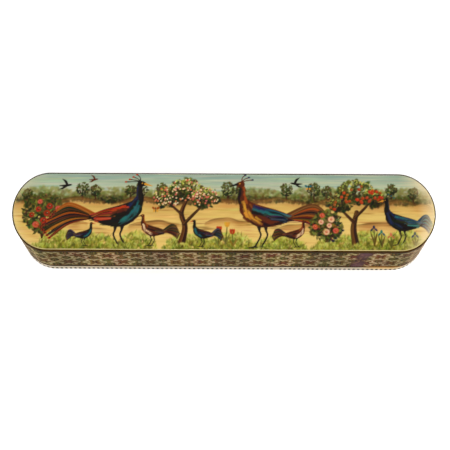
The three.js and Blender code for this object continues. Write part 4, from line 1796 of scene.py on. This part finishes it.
# %% [markdown]
# ## Velvet
# Inside, card covered with short velvet lines the floor, the walls and the lid. Velvet is darkest
# where you look straight into its pile and lights up at glancing angles, which is what the shader's
# sheen does. The pile also lies this way and that, so the cloth is mottled where it was stroked.

# %% Make the velvet
def make_velvet():
    material, tree, shader = new_finish(
        "red_velvet",
        Roughness=0.9,
        Sheen_Weight=0.55,
        Sheen_Roughness=0.4,
        Sheen_Tint=rgba((232, 120, 120)),
        Specular_IOR_Level=0.15,
    )
    nap = noise(tree, object_place(tree), scale=55.0, detail=3.0, Distortion=1.2)
    stroked = mix(tree, span(tree, nap, 0.35, 0.65), rgba((92, 16, 26)), rgba((130, 28, 38)))
    pile = noise(tree, object_place(tree), scale=2400.0, detail=2.0)
    tufted = tint(tree, stroked, stretch_noise(tree, pile, 0.75, 1.2))
    toned = effect(tree, UNEVEN_TONE, Color=tufted, Amount=0.15, Scale=18.0)["Color"]
    fill(tree, shader["Base Color"], toned)
    fill(tree, shader["Normal"], bump(tree, pile, 0.12 * MM))
    return material


VELVET = make_velvet()
print("velvet:", VELVET.name)

# %% [markdown]
# ## Lining the floor and the lid
# The cloth is turned round the edge of its card, so its rims are round, and it is never quite flat:
# a little unevenness, smoothed, keeps it from looking like painted metal. It is glued down, so a cloth
# simulation would change nothing.

# %% Line the floor and the lid
PILE_UNEVEN = 0.12 * MM
CLOTH_EDGE = 0.35 * MM
cloth_chance = np.random.default_rng(3)


def lining_plate(node, name, face_up, columns=300, rows=44):
    """A flat lining. Its dense velvet face is its top, or its underside on the lid."""
    inset = HALF_WIDTH - high(node).y
    face, back = (high(node).z, low(node).z) if face_up else (low(node).z, high(node).z)
    down = 1 if face_up else -1
    section = rounded_edge(inset, face, CLOTH_EDGE, down * CLOTH_EDGE) + [(inset, back)]
    bm = plate(columns, rows, section)
    flat_face = [v for v in bm.verts if abs(v.co.z - face) < FLAT_WITHIN and not v.is_boundary]
    for vert in flat_face:
        vert.co.z -= down * float(cloth_chance.uniform(0, 1)) * PILE_UNEVEN
    bmesh.ops.smooth_vert(bm, verts=flat_face, factor=0.5, use_axis_z=True)
    return stand_for(make_object(bm, name, [VELVET]), node)


floor_velvet = lining_plate("floor_lining", "floor_velvet", face_up=True)
lid_velvet = lining_plate("lid_lining", "lid_velvet", face_up=False)

# %% [markdown]
# ## Lining the walls
# One long strip of velvet goes round the walls. It is a band like the strips outside, seen from the
# inside. Its face is cut into steps of height, so that it has no long slivers, which shade badly.

# %% Line the walls
LINING_STEPS = 16


def make_wall_velvet():
    outer = HALF_WIDTH - high("wall_lining").y
    inner = HALF_WIDTH - high("floor_lining").y - GLUE_LINE
    bottom, top = low("wall_lining").z, high("wall_lining").z
    lift = (top - bottom) / LINING_STEPS
    section = [(outer, bottom), (outer, top)]
    section += [(inner, top - i * lift) for i in range(LINING_STEPS + 1)]
    bm = band(section)
    round_long_edges(bm, CLOTH_EDGE)
    cloth = stand_for(make_object(bm, "wall_velvet", [VELVET]), "wall_lining")


make_wall_velvet()

# %% [markdown]
# ## Finish the carried-over pieces
# The carcass boards and the hinges keep their CAD shapes and only need a finish. Small brass that
# has been handled for years is spotted with brown tarnish, and the spots are duller than the metal.

# %% Give the carcass and the hinges their finish
def make_old_brass():
    material, tree, shader = new_finish("old_brass", Metallic=1.0)
    toned = effect(tree, UNEVEN_TONE, Color=rgba((186, 146, 78)), Amount=0.2, Scale=500.0)["Color"]
    tarnish = effect(tree, RUBBED, Edge=1.0, Amount=0.35, Scale=900.0)["Mask"]
    tarnished = mix(tree, tarnish, toned, rgba((92, 64, 34)))
    fine = effect(tree, FIBRE, Length=20.0, Scale=3000.0)
    dress(tree, shader, tarnished, rough=(tarnish, 0.28, 0.55), relief=(fine["Streak"], 0.01 * MM))
    return material


SLOT_FINISHES = {"carcass_wood": WALNUT, "hinge_brass": make_old_brass()}
for node_name, node in frame["nodes"].items():
    finish = SLOT_FINISHES.get(slots_of[node_name])
    if finish:
        node.data.materials.clear()
        node.data.materials.append(finish)
print("finished as they are:", sum(slots_of[n] in SLOT_FINISHES for n in frame["nodes"]), "nodes")

# %% [markdown]
# ## Light and floor
# The picture has a plain white ground and soft light with hardly a shadow. Broad lights in front,
# behind and at the left give the colours, a low one at the right brightens the right end, and an even
# sky lifts the rest. The lights stay out of the place that the varnished lid mirrors towards the
# camera, so its dark paints stay dark.

# %% Light the scene
FLOOR_REACH = 3.0
FLOOR_COLOUR = (254, 254, 253)
SKY_STRENGTH = 0.25
LIGHTS = [  # name, place, diameter, power in watts
    ("front_light", (0.0, -1.2, 1.2), 1.2, 25),
    ("back_light", (0.0, 1.5, 1.0), 1.2, 23),
    ("left_light", (-1.4, -0.1, 1.0), 1.0, 12),
    ("right_light", (1.6, 0.1, 0.32), 0.6, 36),
]


def make_light(name, place, size, power):
    data = bpy.data.lights.new(name, "AREA")
    data.shape = "DISK"
    data.size = size
    data.energy = power
    light = bpy.data.objects.new(name, data)
    light.location = place
    light.rotation_euler = (-Vector(place)).to_track_quat("-Z", "Y").to_euler()
    bpy.context.scene.collection.objects.link(light)


def make_floor():
    bm = bmesh.new()
    bmesh.ops.create_grid(bm, x_segments=8, y_segments=8, size=FLOOR_REACH)
    material, tree, shader = new_finish("pale_floor", Roughness=0.8, Specular_IOR_Level=0.1)
    toned = effect(tree, UNEVEN_TONE, Color=rgba(FLOOR_COLOUR), Amount=0.003, Scale=3.0)["Color"]
    fill(tree, shader["Base Color"], toned)
    make_object(bm, "floor", [material])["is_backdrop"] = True


make_floor()
for light in LIGHTS:
    make_light(*light)
world = bpy.data.worlds.new("even_sky")
world.use_nodes = True
background = world.node_tree.nodes["Background"].inputs
background["Color"].default_value = WHITE
background["Strength"].default_value = SKY_STRENGTH
bpy.context.scene.world = world
bpy.context.scene.view_settings.view_transform = "Standard"
print("lights:", len(LIGHTS), "and an even sky")

# %% [markdown]
# ## Did anything grow?
# The dressed box is measured again and held against the CAD model's box, and its largest growth is printed.

# %% Compare the boxes
visual_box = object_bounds()
growth = max((dressed - bare).length for dressed, bare in zip(visual_box, cad_box))
print(f"largest growth: {growth / MM:.3f} mm")
